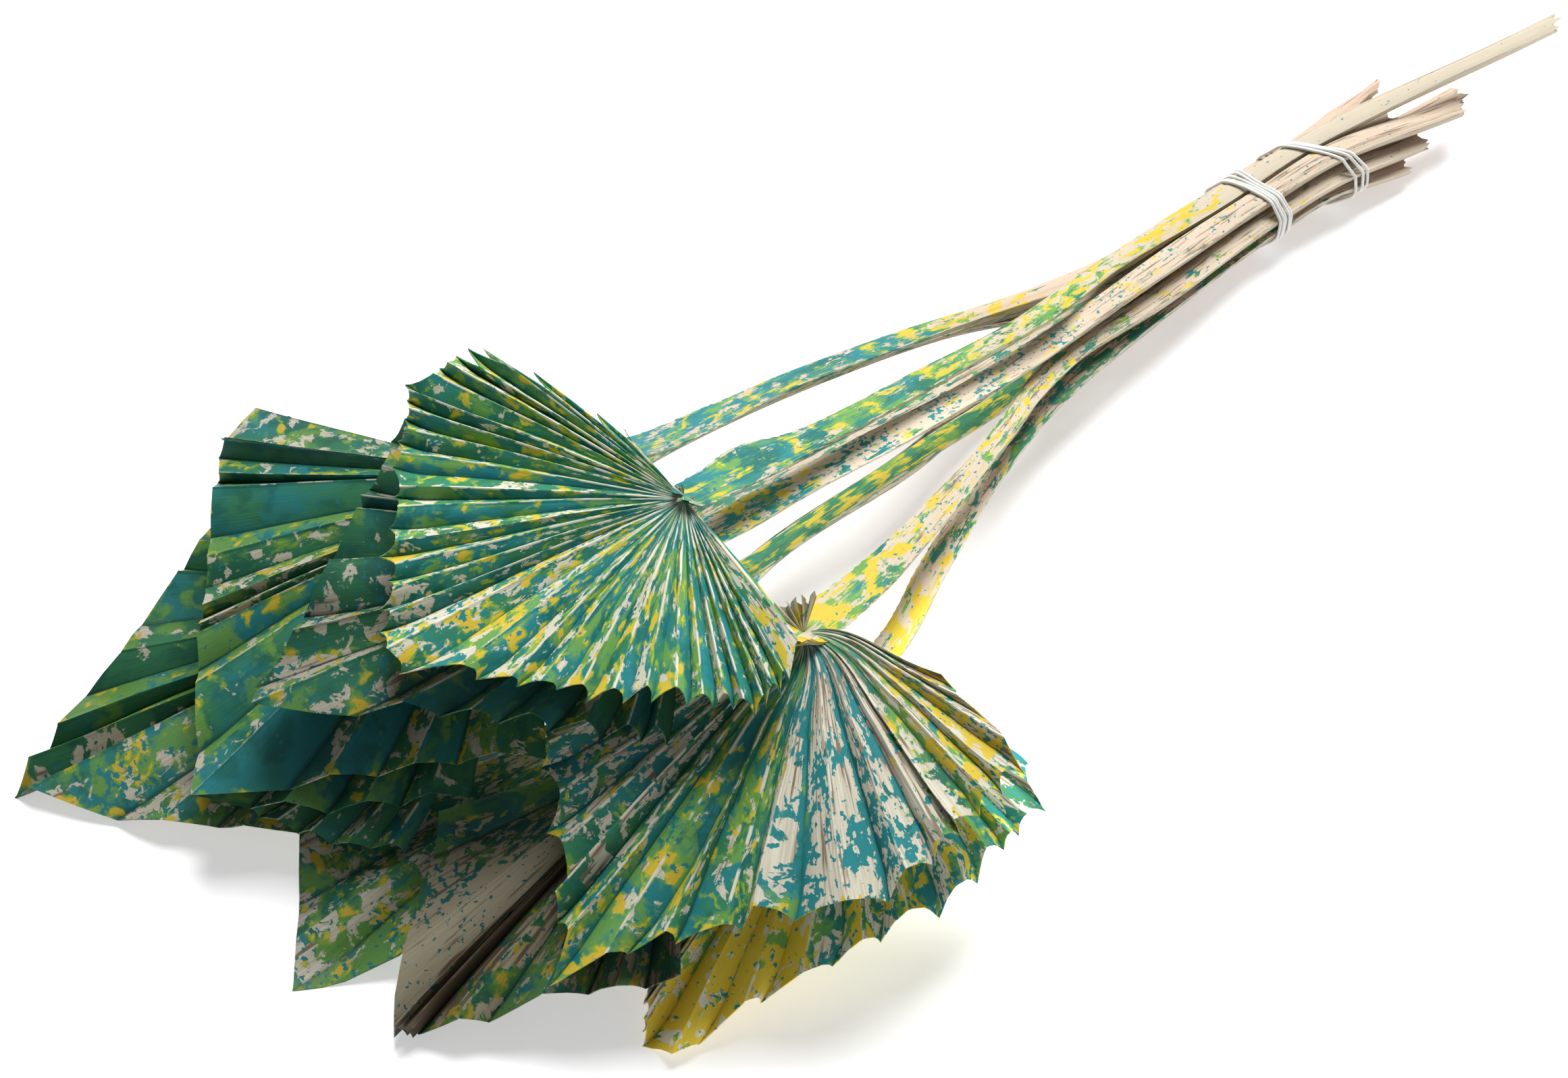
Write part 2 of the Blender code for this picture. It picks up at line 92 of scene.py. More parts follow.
LEAF_SHAPES = (
    dict(name="leaf_a", seed=11, crown=(0, 0, 80), heading=168, dip=12, roll=-5, droop=(0.20, 0.0), bow=0.05,
         cut=((-77, 68), (-61, 79), (-28, 69), (-3, 78), (36, 50), (77, 52), (88, 47)),
         folds=(-85, -83.5, -80.5, -79, -77, -75.7, -74.5, -73.2, -72, -70.7, -69.5, -67.6, -66, -64.5, -61, -59.4, -57.5, -56.2, -54, -52,
                -49, -46.8, -43.5, -39.5, -37.5, -35, -30, -26.8, -24.5, -21.8, -18.5, -16.4, -13.5, -11.6, -9.5,
                -5.5, 0.5, 6, 11.5, 16, 19, 22.5, 27.5, 32, 35.5, 40, 44, 48, 51.5, 56.5, 60.5, 64, 67, 69.5, 72, 74,
                76, 78, 80, 82, 84.5, 86, 88, 96, 98),
         paper=3.7, round=0.75, scallop=7.0, hook=3.0, ribs=0.75,
         via=((22, 1.7, 72.8), (54, 4.4, 62.4), (90, 8.5, 51.3), (127, 12.8, 40)), slot=(3, 0), butt=(344.6, 5.2, 25.2),
         widths=((0, 9.5), (12, 9.5), (30, 10), (48, 8.2), (75, 6.8), (130, 5.9), (175, 6.2), (230, 6.6),
                 (290, 5.6), (350, 5.2)), wing=2.5,
         slant=3.0, lip=2.6, lip_up=1.5, teeth=0.5,
         short=((0, 25), (1, 20), (2, 33), (3, 29), (4, 54), (5, 46), (6, 69), (7, 61), (8, 72), (9, 66), (-2, 42), (-1, 28)),
        
         frills=((-122, -84, 3, 2.8, 0.4), (92, 140, 4, 2.6, 0.3))),
    dict(name="leaf_b", seed=12, crown=(-10, 47, 55), heading=176, dip=17, roll=-2, droop=(0.14, 0.02), bow=0.02,
         cut=((-62, 80), (-52, 84), (-24, 85), (4, 110), (17, 88), (32, 76), (54, 68)),
         folds=(-62, -55.3, -54.8, -54.4, -54, -53.5, -51, -47.5, -46.7, -45, -35.5, -31.5, -26, -22, -20.3, -18.5,
                -17.2, -16.5, -12.5, -10.5, -2, 4, 13.5, 19, 25, 31, 38, 45, 54),
         paper=3.6, round=0.5, scallop=1.6, ribs=0.5,
         via=((22, 35.8, 54), (41, 35, 50.3), (62, 34.6, 46.5), (81, 33.1, 42.7), (113, 31.6, 33.9), (150, 28.3, 24.6)),
         slot=(2, 0), butt=(293.5, 29, 15.2), widths=((0, 8), (45, 7.6), (80, 6), (130, 4.8), (180, 5), (250, 6.2),
                 (290, 5.6), (304, 2.6)),
         teeth=0.45),
    dict(name="leaf_c", seed=13, crown=(-1, -2, 67), heading=160, dip=12, roll=-3, droop=(0.20, 0.02), bow=0.02,
         cut=((-57, 86), (-20, 90), (-6, 109), (8, 73), (43, 50), (60, 45)),
         folds=(-57, -54, -50, -45.5, -41, -38.5, -36.5, -35, -27, -25, -17.5, -14.5, -8.5, -5.5, 2.5, 6, 11.5, 15,
                21, 26, 32, 38, 44, 49, 54, 57, 60),
         paper=4.2, round=0.6, scallop=3.0, hook=1.0, ribs=0.7,
         via=((14, -1.8, 63.4), (30, -0.6, 59.7), (50, 0.3, 54.8), (72, 1.2, 49.7), (97, 4.3, 41.6), (124, 8.9, 32.4)),
         slot=(3, 1), butt=(306, 7.5, 13.6), widths=((0, 9.5), (25, 9.7), (45, 8.2), (90, 7.8), (150, 7), (220, 6.8)),
         teeth=0.3),
    dict(name="leaf_d", seed=14, crown=(-30, 54, 25), heading=160, dip=11, roll=-6, droop=(0.0, 0.02),
         cut=((-46, 69), (-25, 75), (1, 118), (13, 99), (44, 71)),
         folds=(-46, -38, -32, -30, -19.5, -14.5, -8.5, -4.5, -3, -1, 1, 3, 13, 18, 25, 30, 38, 41, 44),
         paper=3.2, round=0.2, ribs=0.3,
         via=((34, 50.5, 30), (88, 43.5, 27), (140, 36, 16)), slot=(0, 0), butt=(289, 27, 2.2),
         widths=((0, 7), (50, 5.4), (140, 5.6), (220, 6.8))),
    dict(name="leaf_e", seed=15, crown=(4, -36, 61), heading=196, dip=22, roll=-1, droop=(0.24, 0.0), bow=0.05,
         curl=0.25, twist=22.0,
         cut=((-45, 64), (-26, 70), (-6, 95), (2, 78), (45, 63),
              (67, 57), (88, 56), (92, 51), (97, 38), (105, 32)),
         folds=(-45, -39, -33, -29, -24, -21, -17, -14.5, -12.5, -10, -6, -2, 1, 4.5, 8, 13, 18, 24, 28.5, 37.5, 46,
                52, 58, 62, 66, 69, 72, 77, 81, 85, 88, 91, 94, 97, 100, 103, 105),
         paper=4.5, round=0.55, scallop=3.6, hook=1.4, sway=0.25, ribs=0.9, slot_name="leaf_speckled",
         via=((32, -30.3, 54.2), (43, -27.2, 51.5), (65, -20.2, 45.7), (85, -13.1, 40.5), (101, -6.5, 34.9), (119, 1.8, 28.6),
              (141, 7.6, 23.9)), slot=(2, 2), butt=(290, 8.2, 9.4),
         widths=((0, 11), (12, 11), (32, 10.2), (52, 8), (80, 5.9), (130, 6), (220, 6.8)), lip=8.0, lip_up=2.8,
         teeth=0.6, frills=((-174, -84, 6, 8.5, 0.35),)),
    dict(name="leaf_f", seed=16, crown=(14, -44, 41), heading=196, dip=24, roll=2, droop=(0.25, 0.0), curl=0.1,
         cut=((-40, 60), (-11, 79), (1, 99), (14, 74), (48, 56), (78, 51), (88, 48), (95, 41)),
         folds=(-40, -35, -30, -25, -20, -15, -10, -8.4, -7.2, -6, -5, -4, -3, -2, -1, 2, 6, 10, 14, 19, 25, 30, 35,
                41, 48, 54, 61, 66, 71, 73, 76, 80, 85, 89, 95),
         paper=4.0, round=0.5, scallop=4.5, hook=2.0, ribs=0.5, slot_name="leaf_yellow",
         via=((34, -37.5, 38.3), (51, -29.2, 36), (68, -21.7, 33.6), (86, -13.5, 28.8), (105, -5.4, 23.7), (126, 2.2, 18.7)),
         slot=(1, 2), butt=(282, 7, 5.4), widths=((0, 8.5), (40, 8), (75, 5.9), (110, 6.2), (150, 6.8), (220, 6.8)),
         teeth=0.45),
    dict(name="leaf_g", seed=17, crown=(-24, -25, 35), heading=182, dip=19, roll=1, droop=(0.05, 0.0),
         cut=((-33, 60), (-18, 68), (-3, 97), (5, 83), (18, 67), (44, 57)),
         folds=(-33, -25, -10.5, -1.2, -0.7, -0.3, 0.1, 0.5, 0.9, 1.3, 6, 9, 17, 24.5, 31, 37, 44), edge_ridge=True,
         paper=4.0, round=0.3, ribs=0.25, slot_name="leaf_speckled",
         via=((6, 0.3, 39.6), (25, 2.1, 36), (56, 5.3, 31.1), (85, 7.6, 26), (116, 10.8, 19.1)), slot=(1, 1),
         butt=(310.5, 11.8, 12), widths=((0, 6.5), (60, 5.6), (150, 5.6), (220, 6.6))),
    dict(name="leaf_h", seed=18, crown=(-18, -1, 21), heading=180, dip=12, roll=0,
         cut=((-28, 78), (-21, 86), (-1, 106), (8, 83), (30, 66)),
         folds=(-28, -21, -12, -6.5, -1, 8, 16, 23, 30), paper=4.5, ribs=0.25, slot_name="leaf_speckled",
         via=((36, 12, 20), (87, 14, 15), (133, 21, 9)), slot=(0, 1), butt=(281, 16, 2.2)),
    dict(name="leaf_i", seed=19, crown=(-34, 24, 30.6), heading=170, dip=15, roll=-6, droop=(0.05, 0.0),
         cut=((-30, 68), (-18, 76), (-3, 74), (16, 62), (28, 55)),
         folds=(-30, -27, -24, -20, -16.5, -12, -9, -5, -1.5, 2, 6, 9, 13, 17, 21, 25, 28), slot_name="leaf_green",
         via=((30, 24, 35), (86, 19, 30), (138, 23, 19)), slot=(2, 1), butt=(286, 19, 14.0)),
    dict(name="leaf_j", seed=20, crown=(-14, 47, 46), heading=176, dip=17, roll=-2, droop=(0.08, 0.0),
         cut=((-68, 71), (-50, 74), (-14, 86), (3, 103), (23, 83), (42, 71)),
         folds=(-68, -64, -60, -56, -51, -47, -42, -37, -33, -28, -22, -17, -12, -7, -2, 3, 9, 14, 20, 25, 31, 36, 42),
         slot_name="leaf_green",
         via=((25, 40.5, 47.2), (44, 39, 43.6), (65, 38.4, 40), (84, 36.9, 36.2), (116, 35.2, 27.6), (150, 31.8, 18.8)),
         slot=(1, 0), butt=(290, 27.5, 11), widths=((0, 7.5), (40, 5.8), (150, 5.6), (220, 6.6))),
)
LEAVES = {shape["name"]: {**PLAIN_LEAF, **shape} for shape in LEAF_SHAPES}

# Dye of a blade by angle across its fan: rows of (angle, cover, teal, light, yellow, specks, brown). cover: share
# painted; teal: how blue the paint is, against green; light: share washed light green. The rows for the strips that
# face the far side and the near side are added there; they dye the far-facing strips lighter and the near-facing
# ones darker, a painted light and shade of the strips' facing. rim, ridge and valley are added there too; the
# valley's extra cover, with less light and yellow, is partly a painted shade in the creases and partly the teal
# lines of E's valleys.
# tone: the blade's brightness, a painted light and shade: below 1 it darkens the leaves that lie in shade under others,
# above 1 it lightens A and F.
PLAIN_DYE = dict(tone=1.0, husk=0.0, worn=9.0, far_strip_painted_light=(-0.10, 0.0, 0.12, 0.04), near_strip_painted_shade=(0.10, 0.0, -0.08, -0.04),
                 rim=(0.15, -0.1, 0.1, 0.0), ridge=(-0.05, 0.1, 0.0, 0.02), valley=(0.15, 0.05, -0.1, -0.1))
BLADE_DYES = {
    "leaf_a": dict(rows=((-77, 0.78, 0.72, 0.40, 0.14, 0.3, 0.0), (-50, 0.82, 0.66, 0.35, 0.14, 0.3, 0.0),
                         (-36, 0.93, 0.60, 0.25, 0.07, 0.2, 0.0), (-28, 0.70, 0.60, 0.35, 0.14, 0.4, 0.0),
                         (-12, 0.65, 0.70, 0.20, 0.15, 0.5, 0.0), (-5, 0.55, 0.70, 0.20, 0.34, 0.5, 0.0),
                         (3, 0.67, 0.70, 0.30, 0.18, 0.4, 0.0), (16, 0.71, 0.70, 0.30, 0.20, 0.3, 0.0),
                         (30, 0.71, 0.64, 0.40, 0.15, 0.3, 0.0), (45, 0.71, 0.70, 0.35, 0.18, 0.3, 0.0),
                         (58, 0.85, 0.45, 0.35, 0.08, 0.2, 0.0), (70, 0.65, 0.60, 0.20, 0.16, 0.4, 0.1),
                         (88, 0.67, 0.60, 0.30, 0.15, 0.4, 0.1)), tone=1.16),
    "leaf_b": dict(rows=((-62, 0.97, 1.00, 0.30, 0.03, 0.0, 0.0), (-55, 0.96, 0.90, 0.20, 0.02, 0.0, 0.0),
                         (-52, 0.92, 0.50, 0.20, 0.03, 0.0, 0.0),
                         (-45, 0.99, 0.60, 0.05, 0.00, 0.0, 0.0), (-34, 0.95, 0.50, 0.10, 0.01, 0.0, 0.0),
                         (-30, 0.75, 0.40, 0.35, 0.08, 0.1, 0.0), (-18, 0.65, 0.40, 0.30, 0.10, 0.1, 0.0),
                         (-13, 0.85, 0.40, 0.30, 0.05, 0.0, 0.0), (-3, 0.80, 0.50, 0.30, 0.06, 0.1, 0.0),
                         (2, 0.98, 0.75, 0.05, 0.01, 0.0, 0.0), (20, 0.97, 0.70, 0.10, 0.02, 0.0, 0.0),
                         (30, 0.90, 0.60, 0.20, 0.04, 0.1, 0.0), (54, 0.75, 0.50, 0.30, 0.10, 0.2, 0.0)),
                   rim=(-0.05, 0.0, 0.2, 0.12), tone=0.74),
    "leaf_c": dict(rows=((-57, 0.78, 0.40, 0.30, 0.08, 0.1, 0.0), (-45, 0.66, 0.40, 0.20, 0.03, 0.3, 0.1),
                         (-36, 0.90, 0.50, 0.20, 0.01, 0.1, 0.0), (-20, 0.72, 0.55, 0.20, 0.05, 0.4, 0.1),
                         (-9, 0.60, 0.50, 0.30, 0.12, 0.4, 0.1), (4, 0.62, 0.40, 0.40, 0.12, 0.4, 0.1),
                         (8, 0.92, 0.60, 0.10, 0.03, 0.1, 0.0), (60, 0.93, 0.55, 0.10, 0.03, 0.1, 0.0)),
                   tone=0.60),
    "leaf_d": dict(rows=((-46, 0.96, 0.30, 0.25, 0.00, 0.0, 0.0), (-2, 0.92, 0.35, 0.30, 0.02, 0.0, 0.0),
                         (4, 0.58, 0.38, 0.35, 0.16, 0.5, 0.1), (44, 0.58, 0.40, 0.40, 0.16, 0.5, 0.2)),
                   rim=(0.1, 0.0, 0.1, 0.15), tone=0.64),
    "leaf_e": dict(rows=((-45, 0.35, 0.87, 0.20, 0.03, 0.8, 0.2), (-24, 0.45, 0.77, 0.30, 0.05, 0.7, 0.2),
                         (-6, 0.68, 0.67, 0.35, 0.08, 0.4, 0.1), (8, 0.78, 0.52, 0.40, 0.12, 0.3, 0.1),
                         (17, 0.75, 0.52, 0.40, 0.14, 0.3, 0.1), (21, 0.05, 1.00, 0.10, 0.02, 1.0, 0.1),
                         (26, 0.05, 1.00, 0.10, 0.01, 1.0, 0.1), (29, 0.66, 1.00, 0.10, 0.00, 0.8, 0.0),
                         (33, 0.05, 1.00, 0.10, 0.02, 1.0, 0.1), (43, 0.05, 1.00, 0.10, 0.02, 1.0, 0.1),
                         (46.5, 0.66, 1.00, 0.00, 0.00, 0.8, 0.0), (52, 0.05, 1.00, 0.10, 0.01, 1.0, 0.1),
                         (58, 0.07, 1.00, 0.10, 0.01, 1.0, 0.2), (62, 0.05, 0.92, 0.20, 0.02, 0.3, 0.2),
                         (66, 0.30, 0.52, 0.60, 0.15, 0.5, 0.1), (74, 0.50, 0.42, 0.70, 0.28, 0.4, 0.1),
                         (81, 0.35, 0.42, 0.60, 0.34, 0.4, 0.1), (87, 0.25, 0.42, 0.50, 0.45, 0.4, 0.15),
                         (92, 0.25, 0.50, 0.40, 0.30, 0.5, 0.2), (105, 0.25, 0.50, 0.40, 0.30, 0.5, 0.4)),
                   far_strip_painted_light=(-0.02, 0.0, 0.12, 0.04), near_strip_painted_shade=(0.04, 0.0, -0.08, -0.02),
                   rim=(0.25, -0.1, 0.1, 0.16), valley=(0.50, 0.3, -0.1, -0.1), worn=18.0, tone=1.0),
    "leaf_f": dict(rows=((-40, 0.50, 0.50, 0.20, 0.07, 0.3, 0.4), (-9, 0.15, 0.50, 0.20, 0.03, 0.2, 0.7),
                         (0, 0.30, 0.50, 0.40, 0.72, 0.2, 0.1), (6, 0.30, 0.50, 0.50, 0.78, 0.2, 0.05),
                         (16, 0.30, 0.50, 0.50, 0.72, 0.2, 0.05), (22, 0.65, 0.80, 0.30, 0.25, 0.3, 0.1),
                         (30, 0.50, 0.70, 0.40, 0.40, 0.5, 0.1), (50, 0.60, 0.70, 0.30, 0.25, 0.5, 0.1),
                         (70, 0.62, 0.60, 0.40, 0.25, 0.4, 0.1), (80, 0.65, 0.65, 0.20, 0.10, 0.4, 0.3),
                         (95, 0.55, 0.70, 0.10, 0.08, 0.4, 0.4)),
                   rim=(0.05, 0.0, 0.0, 0.0), tone=1.62),
    "leaf_g": dict(rows=((-33, 0.97, 0.20, 0.30, 0.00, 0.0, 0.0), (-30, 0.92, 0.25, 0.30, 0.01, 0.0, 0.0),
                         (-28.5, 0.55, 0.50, 0.30, 0.02, 0.5, 0.2), (-12, 0.48, 0.55, 0.30, 0.02, 0.6, 0.2),
                         (-10, 0.04, 0.80, 0.10, 0.00, 0.3, 0.05), (-2, 0.05, 0.90, 0.10, 0.00, 0.3, 0.10),
                         (0, 0.12, 0.50, 0.10, 0.01, 0.1, 0.9), (3, 0.20, 0.50, 0.20, 0.03, 0.2, 0.8),
                         (6, 0.56, 0.35, 0.40, 0.09, 0.4, 0.3), (24, 0.60, 0.40, 0.40, 0.09, 0.4, 0.3),
                         (44, 0.50, 0.50, 0.30, 0.09, 0.5, 0.4)),
                   far_strip_painted_light=(0.0, 0.0, 0.05, 0.0), near_strip_painted_shade=(0.0, 0.0, 0.0, 0.0), tone=0.46, husk=0.75),
    "leaf_h": dict(rows=((-28, 0.42, 0.50, 0.30, 0.08, 0.8, 0.1), (-12, 0.52, 0.40, 0.40, 0.10, 0.6, 0.1),
                         (2, 0.58, 0.35, 0.45, 0.12, 0.5, 0.1), (16, 0.54, 0.40, 0.45, 0.12, 0.5, 0.2),
                         (30, 0.50, 0.50, 0.30, 0.08, 0.6, 0.3)),
                   far_strip_painted_light=(0.05, 0.0, 0.1, 0.0), near_strip_painted_shade=(0.0, 0.0, 0.0, 0.0), tone=0.70),
    "leaf_i": dict(rows=((-30, 0.85, 0.50, 0.20, 0.02, 0.1, 0.1), (28, 0.82, 0.50, 0.20, 0.03, 0.2, 0.2)), tone=0.7),
    "leaf_j": dict(rows=((-68, 0.86, 0.50, 0.30, 0.02, 0.1, 0.1), (42, 0.86, 0.50, 0.25, 0.02, 0.1, 0.1)), tone=0.7),
}

STEM_HUSKS = {"leaf_b": 0.8, "leaf_j": 0.7, "leaf_f": 0.4, "leaf_g": 0.3, "leaf_c": 0.35, "leaf_e": 0.2}
# Painted light and shade along the stems: brightness towards the crown, which lightens C's and F's stems where shadows
# fall on them and makes D's darker.
STEM_PAINTED_LIGHT = {"leaf_c": 1.7, "leaf_f": 1.7, "leaf_d": 0.8}

# The same for the stems: rows of (place from the cut end to the crown, cover, teal, light, yellow, specks, brown).
STEM_DYES = {
    "leaf_a": ((0.0, 0.00, 0.50, 0.00, 0.00, 0.0, 0.0), (0.32, 0.03, 0.60, 0.20, 0.01, 0.05, 0.0),
               (0.42, 0.18, 0.30, 0.80, 0.38, 0.1, 0.0), (0.60, 0.62, 0.35, 0.65, 0.25, 0.1, 0.0),
               (0.80, 0.84, 0.70, 0.40, 0.12, 0.3, 0.0), (1.0, 0.93, 0.80, 0.30, 0.08, 0.3, 0.0)),
    "leaf_b": ((0.0, 0.00, 0.50, 0.00, 0.00, 0.0, 0.1), (0.46, 0.01, 0.50, 0.10, 0.01, 0.05, 0.05),
               (0.50, 0.28, 0.20, 0.80, 0.33, 0.1, 0.1), (0.58, 0.60, 0.30, 0.70, 0.22, 0.2, 0.0),
               (0.64, 0.85, 1.00, 0.20, 0.05, 0.3, 0.0), (0.80, 0.72, 1.00, 0.20, 0.10, 0.5, 0.0),
               (1.0, 0.75, 1.05, 0.05, 0.08, 0.6, 0.0)),
    "leaf_c": ((0.0, 0.00, 0.50, 0.00, 0.00, 0.0, 0.1), (0.35, 0.03, 0.80, 0.10, 0.04, 0.3, 0.2),
               (0.60, 0.14, 0.90, 0.10, 0.10, 0.6, 0.1), (0.85, 0.22, 0.90, 0.10, 0.05, 0.7, 0.0),
               (0.94, 0.60, 0.95, 0.10, 0.30, 0.6, 0.0), (1.0, 0.70, 0.95, 0.10, 0.10, 0.6, 0.0)),
    "leaf_d": ((0.0, 0.00, 0.50, 0.00, 0.00, 0.0, 0.1), (0.5, 0.35, 0.50, 0.20, 0.03, 0.2, 0.2),
               (1.0, 0.80, 0.40, 0.20, 0.03, 0.2, 0.1)),
    "leaf_e": ((0.0, 0.00, 0.50, 0.00, 0.00, 0.0, 0.1), (0.45, 0.15, 0.50, 0.20, 0.07, 0.2, 0.2),
               (0.60, 0.35, 0.50, 0.40, 0.19, 0.3, 0.2), (0.78, 0.25, 0.40, 0.50, 0.19, 0.4, 0.1),
               (0.92, 0.75, 0.55, 0.60, 0.22, 0.2, 0.0), (1.0, 0.60, 0.20, 0.80, 0.75, 0.1, 0.0)),
    "leaf_f": ((0.0, 0.00, 0.50, 0.00, 0.00, 0.0, 0.1), (0.30, 0.50, 0.60, 0.10, 0.02, 0.2, 0.3),
               (0.60, 0.62, 0.50, 0.20, 0.03, 0.2, 0.2), (0.84, 0.22, 0.60, 0.20, 0.05, 0.3, 0.1),
               (0.90, 0.18, 0.30, 0.50, 0.62, 0.1, 0.0), (1.0, 0.15, 0.30, 0.50, 0.85, 0.1, 0.0)),
    "leaf_g": ((0.0, 0.00, 0.50, 0.00, 0.00, 0.0, 0.1), (0.40, 0.50, 0.30, 0.20, 0.03, 0.0, 0.2),
               (0.55, 0.98, 0.25, 0.25, 0.22, 0.1, 0.0), (1.0, 0.99, 0.30, 0.20, 0.25, 0.1, 0.0)),
    "leaf_h": ((0.0, 0.00, 0.50, 0.00, 0.00, 0.0, 0.1), (0.4, 0.15, 0.50, 0.10, 0.02, 0.1, 0.3),
               (1.0, 0.60, 0.60, 0.20, 0.04, 0.3, 0.1)),
    "leaf_i": ((0.0, 0.00, 0.50, 0.00, 0.00, 0.0, 0.1), (0.5, 0.40, 0.50, 0.20, 0.03, 0.2, 0.2),
               (1.0, 0.75, 0.50, 0.20, 0.04, 0.2, 0.0)),
    "leaf_j": ((0.0, 0.00, 0.50, 0.00, 0.00, 0.0, 0.1), (0.5, 0.40, 0.50, 0.20, 0.03, 0.2, 0.2),
               (1.0, 0.75, 0.50, 0.20, 0.04, 0.2, 0.0)),
}

# Elastic ties: gathering station, turns of the cord, their spacing along X, the lean of the turns' plane along X per
# unit of Y, how far the turns part into two groups on the far side (far_gap) and the near side (near_gap).
CORD_RADIUS = 0.48
CORD_SIDES = 10
CORD_STEPS = 150
BANDS = {
    "band_lower": dict(station=1, turns=5, spacing=1.05, lean=-0.15, far_gap=2.6, near_gap=0.2, seed=61),
    "band_upper": dict(station=2, turns=3, spacing=1.15, lean=-0.62, far_gap=3.4, near_gap=1.6, seed=62),
}

# The photograph's camera, in the frame's metres: where it stands, how it looks down, and its focal length.
PHOTO_WIDTH = 2322
FOCAL_PIXELS = 4059.0
CAMERA_PLACE = (-0.3583, -0.3300, 0.5500)
CAMERA_TURN = -42.0
CAMERA_HEIGHT = 50.0
SENSOR = 36.0
LAMP_PLACE = (1.20, 0.80, 2.50)
LAMP_SIZE = 1.90
FLOOR_HALF = 6.0


def rotation(heading, dip, roll):
    """Matrix from a leaf's own axes (x midrib, y left, z up) to the bunch's: roll, then dip, then heading."""
    a, b, c = np.radians((heading, dip, roll))
    turn = np.array([[np.cos(a), -np.sin(a), 0], [np.sin(a), np.cos(a), 0], [0, 0, 1]])
    pitch = np.array([[np.cos(b), 0, np.sin(b)], [0, 1, 0], [-np.sin(b), 0, np.cos(b)]])
    bank = np.array([[1, 0, 0], [0, np.cos(c), -np.sin(c)], [0, np.sin(c), np.cos(c)]])
    return turn @ pitch @ bank


def outline_radius(leaf, angle):
    """Length of the blade at each angle from the midrib: straight cuts between the outline's corners.

    The cut through corners (a, p) and (b, q) is r = p q sin(b - a) / (p sin(t - a) + q sin(b - t)).
    """
    corners = np.array(leaf["cut"], float)
    at = np.radians(corners[:, 0])
    piece = np.clip(np.searchsorted(at, angle, side="right") - 1, 0, len(at) - 2)
    a, b, p, q = at[piece], at[piece + 1], corners[piece, 1], corners[piece + 1, 1]
    return p * q * np.sin(b - a) / (p * np.sin(angle - a) + q * np.sin(b - angle))


def fold_lines(leaf):
    """The folds' angles, which of them are ridges, heights per unit of radius, and the strips' paper angles.

    A strip that spans the angle s rises by sqrt(paper^2 - s^2), or by 0.5 s (at most 0.85 paper) where it lies
    wide open; each fold stands at a quarter of the rises on its two sides.
    """
    angle = np.radians(leaf["folds"])
    ridge = (np.arange(len(angle)) + (0 if leaf["edge_ridge"] else 1)) % 2 == 0
    plan = np.diff(angle)
    paper = np.radians(leaf["paper"])
    rise = np.maximum(np.sqrt(np.maximum(paper**2 - plan**2, 0)), np.minimum(0.5 * plan, 0.85 * paper))
    beside = np.concatenate([rise[:1], rise, rise[-1:]])
    height = (beside[:-1] + beside[1:]) / 4 * np.where(ridge, 1, -1)
    return angle, ridge, height, np.hypot(plan, np.diff(height))


def blade_points(leaf, angle, height, radius, length):
    """Points of the blade's middle sheet in the bunch's frame.

    z = height - droop r (angle / last angle)^2 - bow r^2 / tip, and curl and twist turn the pleats near the crown.
    """
    first, last = np.radians((leaf["cut"][0][0], leaf["cut"][-1][0]))
    share = np.where(angle >= 0, angle / last, angle / first)
    droop = np.where(angle >= 0, leaf["droop"][0], leaf["droop"][1])
    bent = angle * (1 + leaf["curl"] * np.clip(1 - radius / np.maximum(length, 1), 0, 1) ** 2)
    bent = bent + np.radians(leaf["twist"]) * np.clip(1 - radius / 24, 0, 1) ** 2
    tip = max(corner[1] for corner in leaf["cut"])
    fall = droop * radius * share**2 + leaf["bow"] * radius**2 / tip
    local = np.stack([radius * np.cos(bent), radius * np.sin(bent), height - fall], -1)
    return local @ rotation(leaf["heading"], leaf["dip"], leaf["roll"]).T + np.array(leaf["crown"], float)


def grid_normals(points):
    """Unit normals of a grid of points: the cross product of its differences along columns and rows."""
    along = np.gradient(points, axis=0)
    across = np.gradient(points, axis=1)
    normal = np.cross(along, across)
    return normal / np.maximum(np.linalg.norm(normal, axis=2, keepdims=True), 1e-9)


def grid_quads(rows, columns, closed=False):
    """Quads of a grid of vertices counted row by row, joined round its columns where closed."""
    index = np.arange(rows * columns).reshape(rows, columns)
    right = np.roll(index, -1, axis=1)
    if not closed:
        index, right = index[:, :-1], right[:, :-1]
    return np.stack([index[:-1], index[1:], right[1:], right[:-1]], -1).reshape(-1, 4)


def sheet_faces(rows, columns):
    """Quads of a closed sheet: its upper grid, its lower grid turned over, and the wall round its edge."""
    upper = grid_quads(rows, columns)
    count = rows * columns
    index = np.arange(count).reshape(rows, columns)
    edge = np.concatenate([index[0, :], index[1:, -1], index[-1, -2::-1], index[-2:0:-1, 0]])
    after = np.roll(edge, -1)
    wall = np.stack([edge, after, after + count, edge + count], -1)
    return np.concatenate([upper, upper[:, ::-1] + count, wall])


def flutter(radius, angle, rng, size):
    """A gentle seeded waviness: the sum of four sines of radius and angle, of about the given size."""
    total = np.zeros(np.broadcast(radius, angle).shape)
    for _ in range(4):
        along, across, phase = rng.uniform(0.04, 0.16), rng.uniform(-9, 9), rng.uniform(0, 2 * np.pi)
        total += np.sin(along * radius + across * angle + phase)
    return total * size / 2


def blend_rows(rows, place):
    """Values of a table of (place, values...) at each place, eased between its rows."""
    table = np.array(rows, float)
    at = np.clip(place, table[0, 0], table[-1, 0])
    piece = np.clip(np.searchsorted(table[:, 0], at, side="right") - 1, 0, len(table) - 2)
    share = (at - table[piece, 0]) / (table[piece + 1, 0] - table[piece, 0])
    share = (share**2 * (3 - 2 * share))[..., None]
    return table[piece, 1:] * (1 - share) + table[piece + 1, 1:] * share


